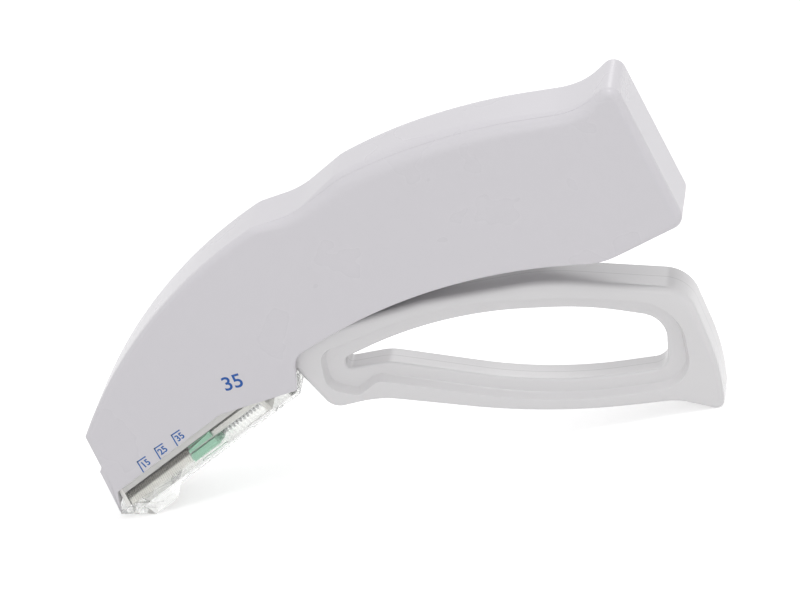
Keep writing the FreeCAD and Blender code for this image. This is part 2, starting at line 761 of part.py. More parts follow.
slot_end_round = cross_rod("slot_end_round", (slot_end, dim.drive_pin_up), slot_half,
                           -head_side, head_side, "fire")
slot_middle = block("slot_middle", dim.drive_pin_out, slot_end, dim.drive_pin_up - slot_half,
                    dim.drive_pin_up + slot_half, -head_side, head_side, "fire")
finished("driver_carrier", cut("carrier_form", fuse("carrier_solid", shelf, head),
                               fuse("pin_slot", slot_start_round, slot_middle, slot_end_round)))
finished("driver_guide", block("guide_form", -dim.guide_front, -dim.guide_rear, dim.guide_low,
                               dim.guide_top, -magazine_side, magazine_side, "fire"))

# Magazine
fire_lean = dim.feed_angle - dim.fire_angle


def fire_to_feed(out, up):
    """The place in the feed frame of a point of the fire frame."""
    out, up = measure(out), measure(up)
    return (out * cosine(fire_lean) + up * sine(fire_lean),
            up * cosine(fire_lean) - out * sine(fire_lean))


def beside_driver(out, up):
    """The point at a height in the feed frame and a distance behind the blade."""
    up = measure(up)
    return (measure(out) + up * sine(fire_lean)) / cosine(fire_lean), up


channel_floor = dim.floor_wall - dim.magazine_floor
cap_end = dim.magazine_length - dim.end_lip
cap_start = cap_end - dim.cap_length
magazine_solid = prism("magazine_solid", [
    from_use("feed", (-dim.foot_front, measure(0))),
    from_use("feed", (measure(0), measure(0))),
    from_use("feed", at("foot_rear")),
    (dim.neck_end, -dim.neck_down), (dim.neck_start, -dim.magazine_floor),
    (dim.magazine_length, -dim.magazine_floor), (dim.magazine_length + dim.end_slant, -dim.roof_end_down),
    (dim.roof_start, dim.roof_start_up), (dim.roof_start, dim.magazine_top),
    beside_driver(-dim.face_front, dim.magazine_top),
    fire_to_feed(-dim.face_front, -dim.face_low),
    from_use("feed", (-dim.lip_rear, dim.lip_height)),
    from_use("feed", (-dim.foot_front, dim.lip_height))], magazine_side * 2, "feed")
channel = prism("channel", [
    beside_driver(0, channel_floor), (cap_end, channel_floor), (cap_end, dim.magazine_floor * 2),
    beside_driver(0, dim.magazine_floor * 2)], channel_side * 2, "feed")
slot_reach = dim.magazine_floor * 2
driver_slot = prism("driver_slot", [
    (-dim.slot_front, -slot_reach), (dim.slot_rear, -slot_reach),
    (dim.slot_rear, slot_reach), (-dim.slot_front, slot_reach)],
    dim.staple_width + dim.slide_gap * 2, "fire")
finished("magazine_body", cut("magazine_form", magazine_solid, fuse("magazine_rooms", channel, driver_slot)))

# Track, anvil and leaf under it, cover strip over the staples
track_top = -(dim.wire / 2 + dim.track_gap)
track_floor = track_top - dim.track_thickness
anvil_side = dim.anvil_width / 2
anvil_floor = track_floor - dim.anvil_thickness
leaf_floor = anvil_floor - dim.leaf_thickness
leaf_side = dim.leaf_width / 2
track_plate = block("track_plate", dim.track_start, dim.track_end, track_floor, track_top,
                    -track_side, track_side, "feed")
track_leg = block("track_leg_form", dim.track_end - dim.track_leg, dim.track_end, channel_floor,
                  track_floor, -track_side, track_side, "feed")
leg_hole = long_rod("leg_hole", dim.track_end - dim.track_leg, dim.track_end, dim.rod_down,
                    dim.feed_spring_radius + dim.feed_spring_wire)
finished("staple_track", cut("track_form", fuse("track_solid", track_plate, track_leg), leg_hole))
anvil_bar = prism("anvil_bar", [
    beside_driver(-dim.anvil_front, track_top), beside_driver(-dim.anvil_front, anvil_floor),
    (dim.anvil_length, anvil_floor),
    (dim.anvil_length, track_floor), (dim.anvil_step, track_floor), (dim.anvil_step, track_top)],
    dim.anvil_width, "feed")
anvil_foot = block("anvil_foot_form", dim.anvil_step, dim.anvil_foot, channel_floor, anvil_floor,
                   -anvil_side, anvil_side, "feed")
leaf_groove = block("leaf_groove", dim.anvil_step, dim.anvil_foot, leaf_floor, anvil_floor,
                    -leaf_side, leaf_side, "feed")
rod_hole = long_rod("rod_hole", dim.rod_start, dim.anvil_foot, dim.rod_down, dim.rod_radius + dim.seat_gap)
finished("anvil", cut("anvil_form", fuse("anvil_solid", anvil_bar, anvil_foot),
                      fuse("anvil_holes", leaf_groove, rod_hole)))
finished("ejector_spring", block("leaf_form", -dim.leaf_start, dim.leaf_end, leaf_floor, anvil_floor,
                                 -leaf_side, leaf_side, "feed"))
finished("cover_strip", block("strip_form", dim.strip_start, dim.track_end - dim.strip_short, dim.strip_rise,
                              dim.strip_rise + dim.strip_thickness, -channel_side, channel_side, "feed"))

# Staples
leg_place = staple_side - dim.wire / 2
staple_path = outline("staple_path", [
    (-leg_place, -dim.staple_leg), (-leg_place, 0, dim.staple_bend),
    (leg_place, 0, dim.staple_bend), (leg_place, -dim.staple_leg)],
    "fire", FreeCAD.Placement(Vector(), FreeCAD.Rotation(Vector(1, 1, 1), 120)), closed=False)
wire_ring = doc.addObject("Part::Circle", "wire_ring")
wire_ring.Radius = bind(wire_ring, "Radius", dim.wire / 2)
wire_ring.Placement = frames["fire"].multiply(FreeCAD.Placement(
    Vector(0, -leg_place.number, -dim.staple_leg.number), FreeCAD.Rotation()))
staple = sweep("staple", wire_ring, staple_path)
finished("loaded_staple", staple)
staple_pitch = (dim.wire + dim.staple_gap) / cosine(fire_lean)
row = []
for number in range(1, round(dim.staple_count.number) + 1):
    copy = doc.addObject("App::Link", f"staple_{number}")
    copy.LinkedObject = staple
    step = Vector(staple_pitch.number * number, 0, 0)
    copy.Placement = FreeCAD.Placement(frames["feed"].Rotation.multVec(step), FreeCAD.Rotation())
    row.append(copy)
staple_row = doc.addObject("Part::Compound", "staple_row")
staple_row.Links = row
finished("staple_stack", staple_row)

# Follower, its spring and rod, and the cap that closes the magazine
follower_start = staple_pitch * dim.staple_count + dim.wire / 2 / cosine(fire_lean) + dim.pin_gap
follower_end = follower_start + dim.follower_length
lean_run = sine(fire_lean) / cosine(fire_lean)
follower_block = prism("follower_block", [
    (follower_start + lean_run * dim.follower_rise, dim.follower_rise),
    (follower_start - lean_run * dim.follower_depth, -dim.follower_depth),
    (follower_end, -dim.follower_depth), (follower_end, dim.follower_rise)],
    follower_side * 2, "feed")
tongue = block("tongue", follower_end - dim.tongue_length, follower_end, -dim.tongue_depth,
               -dim.follower_depth, -(dim.tongue_width / 2), dim.tongue_width / 2, "feed")
half_gap = dim.slide_gap * 0.75
slot_side = track_side + half_gap
track_room = block("track_room", follower_start - dim.follower_depth, follower_end, track_floor - half_gap,
                   track_top + half_gap, -slot_side, slot_side, "feed")
room_side = anvil_side + dim.slide_gap
anvil_room = block("anvil_room", follower_start - dim.follower_depth, follower_end, leaf_floor - half_gap,
                   track_floor, -room_side, room_side, "feed")
foot_room = block("foot_room", follower_start - dim.follower_depth, follower_start + dim.follower_notch,
                  -dim.follower_depth, track_floor, -room_side, room_side, "feed")
rod_room = long_rod("rod_room", follower_start, follower_end, dim.rod_down, dim.rod_radius + dim.slide_gap)
finished("follower", cut("follower_form", fuse("follower_solid", follower_block, tongue),
                         fuse("follower_rooms", track_room, anvil_room, foot_room, rod_room)))
finished("spring_rod", long_rod("rod_form", dim.rod_start, cap_end, dim.rod_down, dim.rod_radius))
cap_block = block("cap_block", cap_start, cap_end, channel_floor, channel_floor + dim.cap_depth,
                  -channel_side, channel_side, "feed")
cap_hole = long_rod("cap_hole", cap_start, cap_end, dim.rod_down, dim.rod_radius + dim.seat_gap)
finished("magazine_end_cap", cut("cap_form", cap_block, cap_hole))
along_row = FreeCAD.Placement(Vector(follower_end.number, 0, -dim.rod_down.number),
                              FreeCAD.Rotation(ACROSS, 90))
finished("feed_spring", coil("feed_coil", frames["feed"].multiply(along_row), dim.feed_spring_radius,
                             dim.feed_spring_wire, dim.feed_spring_pitch, cap_start - follower_end))

# Return spring under its post, and the leaf that clicks on the lever's arm
on_seat = FreeCAD.Placement(Vector(0, 0, dim.spring_seat_height.number), FreeCAD.Rotation())
finished("return_spring", coil("return_coil", frames["spring"].multiply(on_seat), dim.spring_radius,
                               dim.spring_wire, dim.spring_pitch, dim.spring_length))
finished("click_spring", block("click_form", -(dim.click_length / 2), dim.click_length / 2,
                               -(dim.click_post_radius + dim.click_thickness), -dim.click_post_radius,
                               -(dim.click_width / 2), dim.click_width / 2, "click"))

# Check every step, then write one file for each sub-part
doc.recompute()
for thing in doc.Objects:
    if "Invalid" in thing.State or "Error" in thing.State:
        raise RuntimeError(f"{thing.Name} is not valid: {thing.State}")
os.makedirs("parts", exist_ok=True)
for thing in sub_parts:
    if thing.Shape.isNull() or not thing.Shape.isValid():
        raise RuntimeError(f"{thing.Label} has no valid shape")
for thing in sub_parts:
    thing.Shape.exportStep(f"parts/{thing.Label}.step")
whole = Part.makeCompound([thing.Shape for thing in sub_parts]).BoundBox
print(len(sub_parts), "sub-parts, from", whole.XMin, whole.YMin, whole.ZMin,
      "to", whole.XMax, whole.YMax, whole.ZMax)
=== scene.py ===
"""A disposable skin stapler standing on the heel of its foot and the tail of its lever."""
import bmesh
import bpy
import json
import math
from mathutils import Matrix, Vector


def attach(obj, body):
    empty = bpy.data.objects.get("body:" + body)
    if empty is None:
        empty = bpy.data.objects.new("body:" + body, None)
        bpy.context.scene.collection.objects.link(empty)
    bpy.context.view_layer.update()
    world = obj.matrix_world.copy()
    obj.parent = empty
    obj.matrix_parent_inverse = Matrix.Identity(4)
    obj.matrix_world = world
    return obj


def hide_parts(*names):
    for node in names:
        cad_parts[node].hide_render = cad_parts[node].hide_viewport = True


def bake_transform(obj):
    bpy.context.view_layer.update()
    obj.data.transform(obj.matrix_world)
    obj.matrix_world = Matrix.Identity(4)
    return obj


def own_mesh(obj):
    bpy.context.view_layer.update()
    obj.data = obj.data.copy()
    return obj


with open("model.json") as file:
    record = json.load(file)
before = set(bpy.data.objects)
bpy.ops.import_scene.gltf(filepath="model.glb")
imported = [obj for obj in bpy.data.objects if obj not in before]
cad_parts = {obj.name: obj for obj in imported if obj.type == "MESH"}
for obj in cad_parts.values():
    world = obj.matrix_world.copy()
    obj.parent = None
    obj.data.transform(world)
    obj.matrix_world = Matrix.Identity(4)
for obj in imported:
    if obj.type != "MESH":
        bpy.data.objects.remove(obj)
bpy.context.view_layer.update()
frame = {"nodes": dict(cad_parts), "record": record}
nodes = frame["nodes"]


# Housing shells: two halves of a white moulded grip, 18 mm wide, welded along
# a seam that lies near the left face.  The left cover is a plate, the right
# housing is a tray, open below where the lever and the magazine come out.
# Points are given in mm as the stapler is held on the skin, with the heel of
# its foot at x = 0, z = 0.
MM = 0.001
FOOT_MIDDLE = -4.6
skin_face = next(mount for mount in frame["record"]["mounts"] if mount["name"] == "skin_face")
STAND_TILT = math.atan2(-skin_face["axis"][0], -skin_face["axis"][2])
STAND_X = skin_face["pos_m"][0] / MM - FOOT_MIDDLE * math.cos(STAND_TILT)
HALF_WIDTH = 9.0
SEAM_Y = -7.2
INNER_Y = 7.2
SEAM_CHAMFER = 0.11
FLAT_FROM = 1.5  # roundings in from the outline, where the flat of a face starts
ARC_STEPS = 7
UNDERSIDE_START = (134.5, 83.2)

# corner: x, z, radius of its arc, rounding of the shell's edge, thickness of
# the rim, and how far the right face stands back there
HOUSING_CORNERS = {
    "brow": (-16.3, 23.9, 0, 0.8, 1.6, 1.1),
    "forehead": (-2.0, 59.8, 132, 1.0, 1.6, 1.1),
    "shoulder": (30.5, 84.2, 8, 1.6, 1.6, 0.9),
    "saddle": (41.6, 88.2, 20, 2.6, 1.6, 0.4),
    "back_start": (52.5, 98.3, 16, 4.2, 1.6, 0.2),
    "back": (76.0, 111.3, 130, 4.6, 1.6, 0),
    "horn_foot": (114.0, 117.0, 20, 3.4, 1.6, 0),
    "horn": (123.3, 125.6, 3.2, 1.9, 1.6, 0),
    "heel": (139.6, 85.4, 3.6, 1.7, 1.6, 0),
    "palm_rear": (118.3, 74.5, 18, 0.5, 1.6, 0),
    "palm": (75.1, 71.2, 132, 0.5, 1.6, 0),
    "chin": (39.2, 47.6, 5.5, 0.5, 1.6, 0),
    "chin_foot": (39.0, 37.8, 0, 0.4, 1.6, 0),
    "window_rear": (18.9, 30.7, 0, 0.4, 1.6, 0),
    "window_front": (-7.2, 9.4, 0, 0.3, 1.0, 0),
    "nose_inner": (-9.3, 7.7, 0, 0.2, 0.6, 0),
    "nose_tip": (-8.9, 1.4, 0, 0.15, 0.15, 0.1),
    "nose_step": (-13.4, 13.6, 0, 0.5, 1.6, 0.9),
    "nose_step_top": (-12.9, 14.8, 0, 0.6, 1.6, 1.1),
}


def stood(x, y, z):
    """Where a point of the stapler in use, in mm, is as it stands on the floor, in metres."""
    return Vector((x * math.cos(STAND_TILT) + z * math.sin(STAND_TILT) + STAND_X, y,
                   z * math.cos(STAND_TILT) - x * math.sin(STAND_TILT))) * MM


def placed(point, across=0.0):
    """The same for a point (x, z) at a distance across."""
    return stood(point[0], across, point[1])


def rounded_outline(corners, spacing=2.0, turn=math.radians(5)):
    """Points of a closed outline whose corners are rounded by tangent arcs.

    Each point is (x, z, values): what a corner has after its radius runs
    smoothly from corner to corner.
    """
    places = [Vector(corner[:2]) for corner in corners]
    points, middles = [], []
    for index, corner in enumerate(corners):
        here, radius = places[index], corner[2]
        if not radius:
            middles.append(len(points))
            points.append(here)
            continue
        back = (places[index - 1] - here).normalized()
        onward = (places[(index + 1) % len(places)] - here).normalized()
        half = back.angle(onward) / 2
        spoke = back * radius / math.tan(half) - (back + onward).normalized() * (radius / math.sin(half))
        sweep = math.pi - 2 * half
        steps = max(2, math.ceil(max(sweep / turn, sweep * radius / spacing)))
        steps += steps % 2
        side = -1 if back.cross(onward) > 0 else 1
        centre = here + back * radius / math.tan(half) - spoke
        middles.append(len(points) + steps // 2)
        for step in range(steps + 1):
            points.append(centre + Matrix.Rotation(side * sweep * step / steps, 2) @ spoke)
    filled, stations = [], []
    for index, point in enumerate(points):
        if index in middles:
            stations.append(len(filled))
        filled.append(point)
        following = points[(index + 1) % len(points)]
        extra = math.ceil((following - point).length / spacing) - 1
        filled += [point.lerp(following, (step + 1) / (extra + 1)) for step in range(extra)]
    count = len(filled)
    lengths = [0.0]
    for index in range(2 * count):
        lengths.append(lengths[-1] + (filled[(index + 1) % count] - filled[index % count]).length)
    result = []
    for number, station in enumerate(stations):
        last = stations[number + 1] if number + 1 < len(stations) else count + stations[0]
        first_values, last_values = corners[number][3:], corners[(number + 1) % len(corners)][3:]
        for index in range(station, last):
            share = (lengths[index] - lengths[station]) / (lengths[last] - lengths[station])
            share = share * share * (3 - 2 * share)
            values = [a + (b - a) * share for a, b in zip(first_values, last_values)]
            result.append((*filled[index % count], *values))
    return result


def inward(points, sharpest=0.45):
    """For each point of a closed outline, the step that moves it 1 mm inwards.

    A corner's step is limited where the corner is very sharp.
    """
    area = sum(a[0] * b[1] - b[0] * a[1] for a, b in zip(points, points[1:] + points[:1]))
    side = 1 if area > 0 else -1
    steps = []
    for index, point in enumerate(points):
        before = Vector(point[:2]) - Vector(points[index - 1][:2])
        after = Vector(points[(index + 1) % len(points)][:2]) - Vector(point[:2])
        first = Vector((-before.y, before.x)).normalized() * side
        second = Vector((-after.y, after.x)).normalized() * side
        middle = (first + second).normalized()
        steps.append(middle / max(sharpest, middle.dot(first)))
    return steps


def ring(bm, points, steps, insets, depths):
    """One closed row of vertices: each point moved inwards and across."""
    return [bm.verts.new(stood(point[0] + step.x * inset, depth, point[1] + step.y * inset))
            for point, step, inset, depth in zip(points, steps, insets, depths)]


def joined_rings(bm, rings):
    """Faces between neighbouring rings."""
    for near, far in zip(rings, rings[1:]):
        for index in range(len(near)):
            following = (index + 1) % len(near)
            bm.faces.new((near[index], near[following], far[following], far[index]))


def finished_mesh(name, bm, material, sharp=35):
    """A mesh object from a bmesh, with its faces outwards and its edges sorted by angle."""
    bmesh.ops.remove_doubles(bm, verts=bm.verts, dist=1e-6)
    bmesh.ops.dissolve_degenerate(bm, edges=bm.edges, dist=1e-6)
    bmesh.ops.recalc_face_normals(bm, faces=bm.faces)
    mesh = bpy.data.meshes.new(name)
    bm.to_mesh(mesh)
    bm.free()
    mesh.materials.append(material)
    mesh.shade_smooth()
    mesh.set_sharp_from_angle(angle=math.radians(sharp))
    piece = bpy.data.objects.new(name, mesh)
    bpy.context.scene.collection.objects.link(piece)
    weights = piece.modifiers.new("face_weights", "WEIGHTED_NORMAL")
    weights.keep_sharp = True
    return piece


def moulded_plastic(name, colour, roughness, speckle=0.012):
    """Injection-moulded plastic: faint flow clouds, fine spark-eroded grain."""
    material = bpy.data.materials.new(name)
    material.use_nodes = True
    tree = material.node_tree
    shader = tree.nodes["Principled BSDF"]
    shader.inputs["Specular IOR Level"].default_value = 0.45
    place = tree.nodes.new("ShaderNodeTexCoord")
    clouds = tree.nodes.new("ShaderNodeTexNoise")
    clouds.inputs["Scale"].default_value = 45
    clouds.inputs["Detail"].default_value = 3
    tree.links.new(place.outputs["Object"], clouds.inputs["Vector"])
    tint = tree.nodes.new("ShaderNodeMix")
    tint.data_type = "RGBA"
    tint.inputs["A"].default_value = [part * (1 - speckle) for part in colour] + [1]
    tint.inputs["B"].default_value = [min(1, part * (1 + speckle)) for part in colour] + [1]
    tree.links.new(clouds.outputs["Fac"], tint.inputs["Factor"])
    tree.links.new(tint.outputs["Result"], shader.inputs["Base Color"])
    gloss = tree.nodes.new("ShaderNodeMapRange")
    gloss.inputs["To Min"].default_value = roughness - 0.05
    gloss.inputs["To Max"].default_value = roughness + 0.05
    tree.links.new(clouds.outputs["Fac"], gloss.inputs["Value"])
    tree.links.new(gloss.outputs["Result"], shader.inputs["Roughness"])
    pores = tree.nodes.new("ShaderNodeTexNoise")
    pores.inputs["Scale"].default_value = 2600
    pores.inputs["Detail"].default_value = 2
    tree.links.new(place.outputs["Object"], pores.inputs["Vector"])
    bump = tree.nodes.new("ShaderNodeBump")
    bump.inputs["Strength"].default_value = 0.08
    bump.inputs["Distance"].default_value = 0.000004
    tree.links.new(pores.outputs["Fac"], bump.inputs["Height"])
    tree.links.new(bump.outputs["Normal"], shader.inputs["Normal"])
    return material


def rounded_edge(rounding, share, deepest):
    """Inset and depth of a point on a rounded edge: share 0 is on the face."""
    angle = math.acos(max(0.0, 1 - deepest / rounding)) * share
    return rounding * (1 - math.sin(angle)), rounding * (1 - math.cos(angle))


def edge_inset(rounding, depth):
    """How far a rounded edge lies inside the outline at a depth below the face."""
    if depth >= rounding:
        return 0.0
    return rounding - math.sqrt(rounding ** 2 - (rounding - depth) ** 2)


shell_plastic = moulded_plastic("shell_plastic", (0.725, 0.707, 0.742), 0.28)
shell_points = rounded_outline(list(HOUSING_CORNERS.values()), spacing=1.5)
shell_steps = inward(shell_points)
shell_rounds = [point[2] for point in shell_points]


def left_cover():
    bm = bmesh.new()
    plate = HALF_WIDTH + SEAM_Y
    rings = [
        ring(bm, shell_points, shell_steps,
             [edge_inset(r, plate) + SEAM_CHAMFER for r in shell_rounds], [SEAM_Y] * len(shell_points)),
        ring(bm, shell_points, shell_steps, [edge_inset(r, plate - SEAM_CHAMFER) for r in shell_rounds],
             [SEAM_Y - SEAM_CHAMFER] * len(shell_points))]
    for number in range(ARC_STEPS, -1, -1):
        places = [rounded_edge(r, number / ARC_STEPS, plate - SEAM_CHAMFER) for r in shell_rounds]
        rings.append(ring(bm, shell_points, shell_steps, [place[0] for place in places],
                          [place[1] - HALF_WIDTH for place in places]))
    rings.append(ring(bm, shell_points, shell_steps, [r * FLAT_FROM for r in shell_rounds],
                      [-HALF_WIDTH] * len(shell_points)))
    joined_rings(bm, rings)
    bm.faces.new(rings[0])
    bm.faces.new(rings[-1])
    return finished_mesh("left_cover_shell", bm, shell_plastic)


def right_housing():
    bm = bmesh.new()
    count = len(shell_points)

    def nearest(place):
        return min(range(count), key=lambda index: (Vector(shell_points[index][:2]) - Vector(place)).length)

    first, last = nearest(UNDERSIDE_START), nearest(HOUSING_CORNERS["nose_tip"][:2])
    is_open = [first <= index <= last for index in range(count)]
    rims = [point[3] for point in shell_points]

    def row(insets, depths):
        """A ring whose open stretch is left out up to the wall of the right face."""
        shown = [(0.0, max(INNER_Y, depth)) if gap and depth < INNER_Y + SEAM_CHAMFER else (inset, depth)
                 for gap, inset, depth in zip(is_open, insets, depths)]
        tapers = [point[4] * (depth - SEAM_Y) / (HALF_WIDTH - SEAM_Y)
                  for point, (inset, depth) in zip(shell_points, shown)]
        return ring(bm, shell_points, shell_steps,
                    [inset + taper for (inset, depth), taper in zip(shown, tapers)],
                    [depth for inset, depth in shown])

    left = HALF_WIDTH + SEAM_Y
    rings = [row(rims, [INNER_Y] * count), row(rims, [SEAM_Y] * count),
             row([edge_inset(r, left) + SEAM_CHAMFER for r in shell_rounds], [SEAM_Y] * count)]
    for number in range(ARC_STEPS + 1):
        share = number / ARC_STEPS
        depths = [left + SEAM_CHAMFER + max(0.0, r - left - SEAM_CHAMFER) * share for r in shell_rounds]
        rings.append(row([edge_inset(r, depth) for r, depth in zip(shell_rounds, depths)],
                         [depth - HALF_WIDTH for depth in depths]))
    for number in range(ARC_STEPS, -1, -1):
        places = [rounded_edge(r, number / ARC_STEPS, r) for r in shell_rounds]
        rings.append(row([place[0] for place in places], [HALF_WIDTH - place[1] for place in places]))
    rings.append(row([r * FLAT_FROM for r in shell_rounds], [HALF_WIDTH] * count))
    joined_rings(bm, rings)
    bm.faces.new(rings[0])
    bm.faces.new(rings[-1])
    return finished_mesh("right_housing_shell", bm, shell_plastic)


for shell, node in ((left_cover(), "left_cover"), (right_housing(), "right_housing")):
    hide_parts(node)
    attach(shell, "housing")


# Printed marks: thin blue ink on the left face.  Three corner marks with 15,
# 25 and 35 count the staples left beside the row, and a larger 35 stands for
# the size of the full row.
INK_THICKNESS = 0.02
FEED_LEAN = math.radians(39.0)
COUNT_MARKS = {"15": (-3.4, 16.9), "25": (1.3, 20.8), "35": (6.0, 24.8)}
COUNT_ARMS = ((2.1, 1.5), (1.3, -3.0))
COUNT_MIDDLE = (2.05, -0.45)
COUNT_HEIGHT = 1.75
COUNT_STROKE = 0.34
TOTAL_MIDDLE = (22.8, 40.5)
TOTAL_HEIGHT = 3.85
TOTAL_LEAN = math.radians(18.8)
DIGIT_SHARE = 0.69


def on_left_face(x, z):
    return stood(x, -HALF_WIDTH - INK_THICKNESS, z)


def printed_digits(bm, text, middle, height, lean, bolder):
    """Flat digits on the left face, around a middle point."""
    data = bpy.data.curves.new("digits", "FONT")
    data.body = text
    data.align_x = "CENTER"
    data.size = height / DIGIT_SHARE
    data.offset = bolder
    writer = bpy.data.objects.new("digits", data)
    bpy.context.scene.collection.objects.link(writer)
    bpy.context.view_layer.update()
    flat = bpy.data.meshes.new_from_object(writer.evaluated_get(bpy.context.evaluated_depsgraph_get()))
    bpy.data.objects.remove(writer)
    added = []
    for vertex in flat.vertices:
        across, up = vertex.co.x, vertex.co.y - height / 2
        added.append(bm.verts.new(on_left_face(middle[0] + across * math.cos(lean) - up * math.sin(lean),
                                               middle[1] + across * math.sin(lean) + up * math.cos(lean))))
    for face in flat.polygons:
        bm.faces.new([added[index] for index in face.vertices])


def printed_stroke(bm, start, end, width):
    """A straight printed line with square ends."""
    along = (Vector(end) - Vector(start)).normalized() * width / 2
    side = Vector((-along.y, along.x))
    corners = [Vector(start) - along - side, Vector(end) + along - side,
               Vector(end) + along + side, Vector(start) - along + side]
    bm.faces.new([bm.verts.new(on_left_face(*corner)) for corner in corners])


def printed_marks():
    small, large = bmesh.new(), bmesh.new()
    for text, corner in COUNT_MARKS.items():
        for arm in COUNT_ARMS:
            printed_stroke(small, corner, (corner[0] + arm[0], corner[1] + arm[1]), COUNT_STROKE)
        middle = (corner[0] + COUNT_MIDDLE[0], corner[1] + COUNT_MIDDLE[1])
        printed_digits(small, text, middle, COUNT_HEIGHT, FEED_LEAN, 0.06)
    printed_digits(large, "35", TOTAL_MIDDLE, TOTAL_HEIGHT, TOTAL_LEAN, 0.07)
    return small, large


def printing_ink(name, colour):
    """Pad-printed ink: nearly even, a little thin in tiny spots."""
    material = bpy.data.materials.new(name)
    material.use_nodes = True
    tree = material.node_tree
    shader = tree.nodes["Principled BSDF"]
    shader.inputs["Roughness"].default_value = 0.45
    place = tree.nodes.new("ShaderNodeTexCoord")
    spots = tree.nodes.new("ShaderNodeTexNoise")
    spots.inputs["Scale"].default_value = 3500
    tree.links.new(place.outputs["Object"], spots.inputs["Vector"])
    tint = tree.nodes.new("ShaderNodeMix")
    tint.data_type = "RGBA"
    tint.inputs["A"].default_value = [part * 0.8 for part in colour] + [1]
    tint.inputs["B"].default_value = [min(1, part * 1.15 + 0.02) for part in colour] + [1]
    tree.links.new(spots.outputs["Fac"], tint.inputs["Factor"])
    tree.links.new(tint.outputs["Result"], shader.inputs["Base Color"])
    return material


for marks, mark_name, ink in zip(printed_marks(), ("count_marks", "row_size_mark"),
                                 (printing_ink("count_ink", (0.008, 0.12, 0.42)),
                                  printing_ink("size_ink", (0.0, 0.09, 0.39)))):
    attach(finished_mesh(mark_name, marks, ink), "housing")


# Trigger lever: one stiff white moulding.  A closed loop for the fingers, with
# a stepped recess on both sides, and a forked arm that reaches the driver.
# Corners of the rim: x, z, radius of the arc, rounding of the lever's edge.
LEVER_SIDE = 6.25
LEVER_WEB = 3.8
LEVER_CORNERS = [
    (31.0, 41.9, 0, 1.7), (38.4, 42.2, 2, 1.7), (47.6, 30.6, 4.5, 1.3), (59.5, 34.0, 25, 0.9),
    (102.7, 28.9, 170, 0.9), (135.0, 33.0, 14, 0.9), (146.8, 30.0, 2.2, 0.9), (146.3, 42.5, 60, 1.2),
    (138.8, 65.2, 9, 1.8), (103.0, 67.8, 60, 1.9), (72.0, 61.8, 40, 1.9), (50.0, 55.0, 20, 1.6),
    (33.0, 54.0, 0, 0.9)]
RECESS_CORNERS = [
    (44.9, 47.0, 4.2), (77.5, 61.7, 95), (112.0, 63.1, 80), (136.6, 60.7, 12.5), (139.4, 37.4, 9),
    (103.5, 31.9, 115), (59.5, 39.0, 3.5), (54.3, 34.6, 2.2), (46.4, 36.6, 4.8)]
LOOP_CORNERS = [
    (51.2, 44.3, 1.5), (76.3, 57.4, 100), (113.0, 59.2, 80), (132.9, 55.8, 7), (132.9, 41.2, 4.5),
    (103.0, 36.5, 115), (62.3, 43.2, 12), (51.4, 41.0, 1.4)]
LOOP_ROUND = 0.7
RECESS_SLOPE = 1.1  # how far the recess narrows down its sides
RECESS_LIP = (0.35, 0.12)  # the soft lip at its edge, out and down
RECESS_FOOT = (0.3, 0.35)  # the hollow at the foot of its sides, in and up
FLAT_START = 0.3  # where flat faces start beside an edge
PIVOT = (30.0, 48.0)
PIVOT_BOSS = 6.2
BOSS_BACK = 0.01  # how far it stands back from the lever's side
DRIVE_PIN = (-10.344, 25.86)
ARM_TIP, ARM_ROOT = 2.6, 4.6
CHEEK_OUT, CHEEK_IN = 5.2, 2.45
FORK_LENGTH = 15.0
PIN_MARKS = [(49.2, 44.4), (57.5, 40.6), (87.1, 58.8), (128.7, 57.4), (131.6, 39.8)]
PARTING_LINE = (0.04, 0.14)  # distance from the middle where it is darkest, and where it ends
PARTING_DEPTH = 0.35
PIN_MARK_RADIUS = 0.8
PIN_MARK_SUNK, PIN_MARK_RISE = 0.2, 0.05


def filled_between(bm, outer, inner):
    """Flat triangles between two closed rows of vertices in one plane."""
    edges = []
    for row in (outer, inner):
        for index in range(len(row)):
            pair = (row[index], row[(index + 1) % len(row)])
            edges.append(bm.edges.get(pair) or bm.edges.new(pair))
    bmesh.ops.triangle_fill(bm, use_beauty=True, use_dissolve=False, edges=edges)


def prism(bm, points, near, far):
    """A closed straight solid of an outline, between two depths."""
    rows = [[bm.verts.new(stood(x, depth, z)) for x, z in points] for depth in (near, far)]
    joined_rings(bm, rows)
    bm.faces.new(rows[0])
    bm.faces.new(rows[1])


def circle(centre, radius, count=40):
    return [(centre[0] + radius * math.cos(math.tau * step / count),
             centre[1] + radius * math.sin(math.tau * step / count)) for step in range(count)]


def add_parting_line(material):
    """A fine darker line where the two halves of the mould met, along the middle."""
    tree = material.node_tree
    shader = tree.nodes["Principled BSDF"]
    coloured = shader.inputs["Base Color"].links[0].from_socket
    split = tree.nodes.new("ShaderNodeSeparateXYZ")
    tree.links.new(tree.nodes["Texture Coordinate"].outputs["Object"], split.inputs["Vector"])
    away = tree.nodes.new("ShaderNodeMath")
    away.operation = "ABSOLUTE"
    tree.links.new(split.outputs["Y"], away.inputs[0])
    line = tree.nodes.new("ShaderNodeMapRange")
    line.inputs["From Min"].default_value = PARTING_LINE[1] * MM
    line.inputs["From Max"].default_value = PARTING_LINE[0] * MM
    line.inputs["To Max"].default_value = PARTING_DEPTH
    tree.links.new(away.outputs["Value"], line.inputs["Value"])
    darker = tree.nodes.new("ShaderNodeMix")
    darker.data_type = "RGBA"
    darker.inputs["B"].default_value = (0.3, 0.3, 0.29, 1)
    tree.links.new(line.outputs["Result"], darker.inputs["Factor"])
    tree.links.new(coloured, darker.inputs["A"])
    tree.links.new(darker.outputs["Result"], shader.inputs["Base Color"])


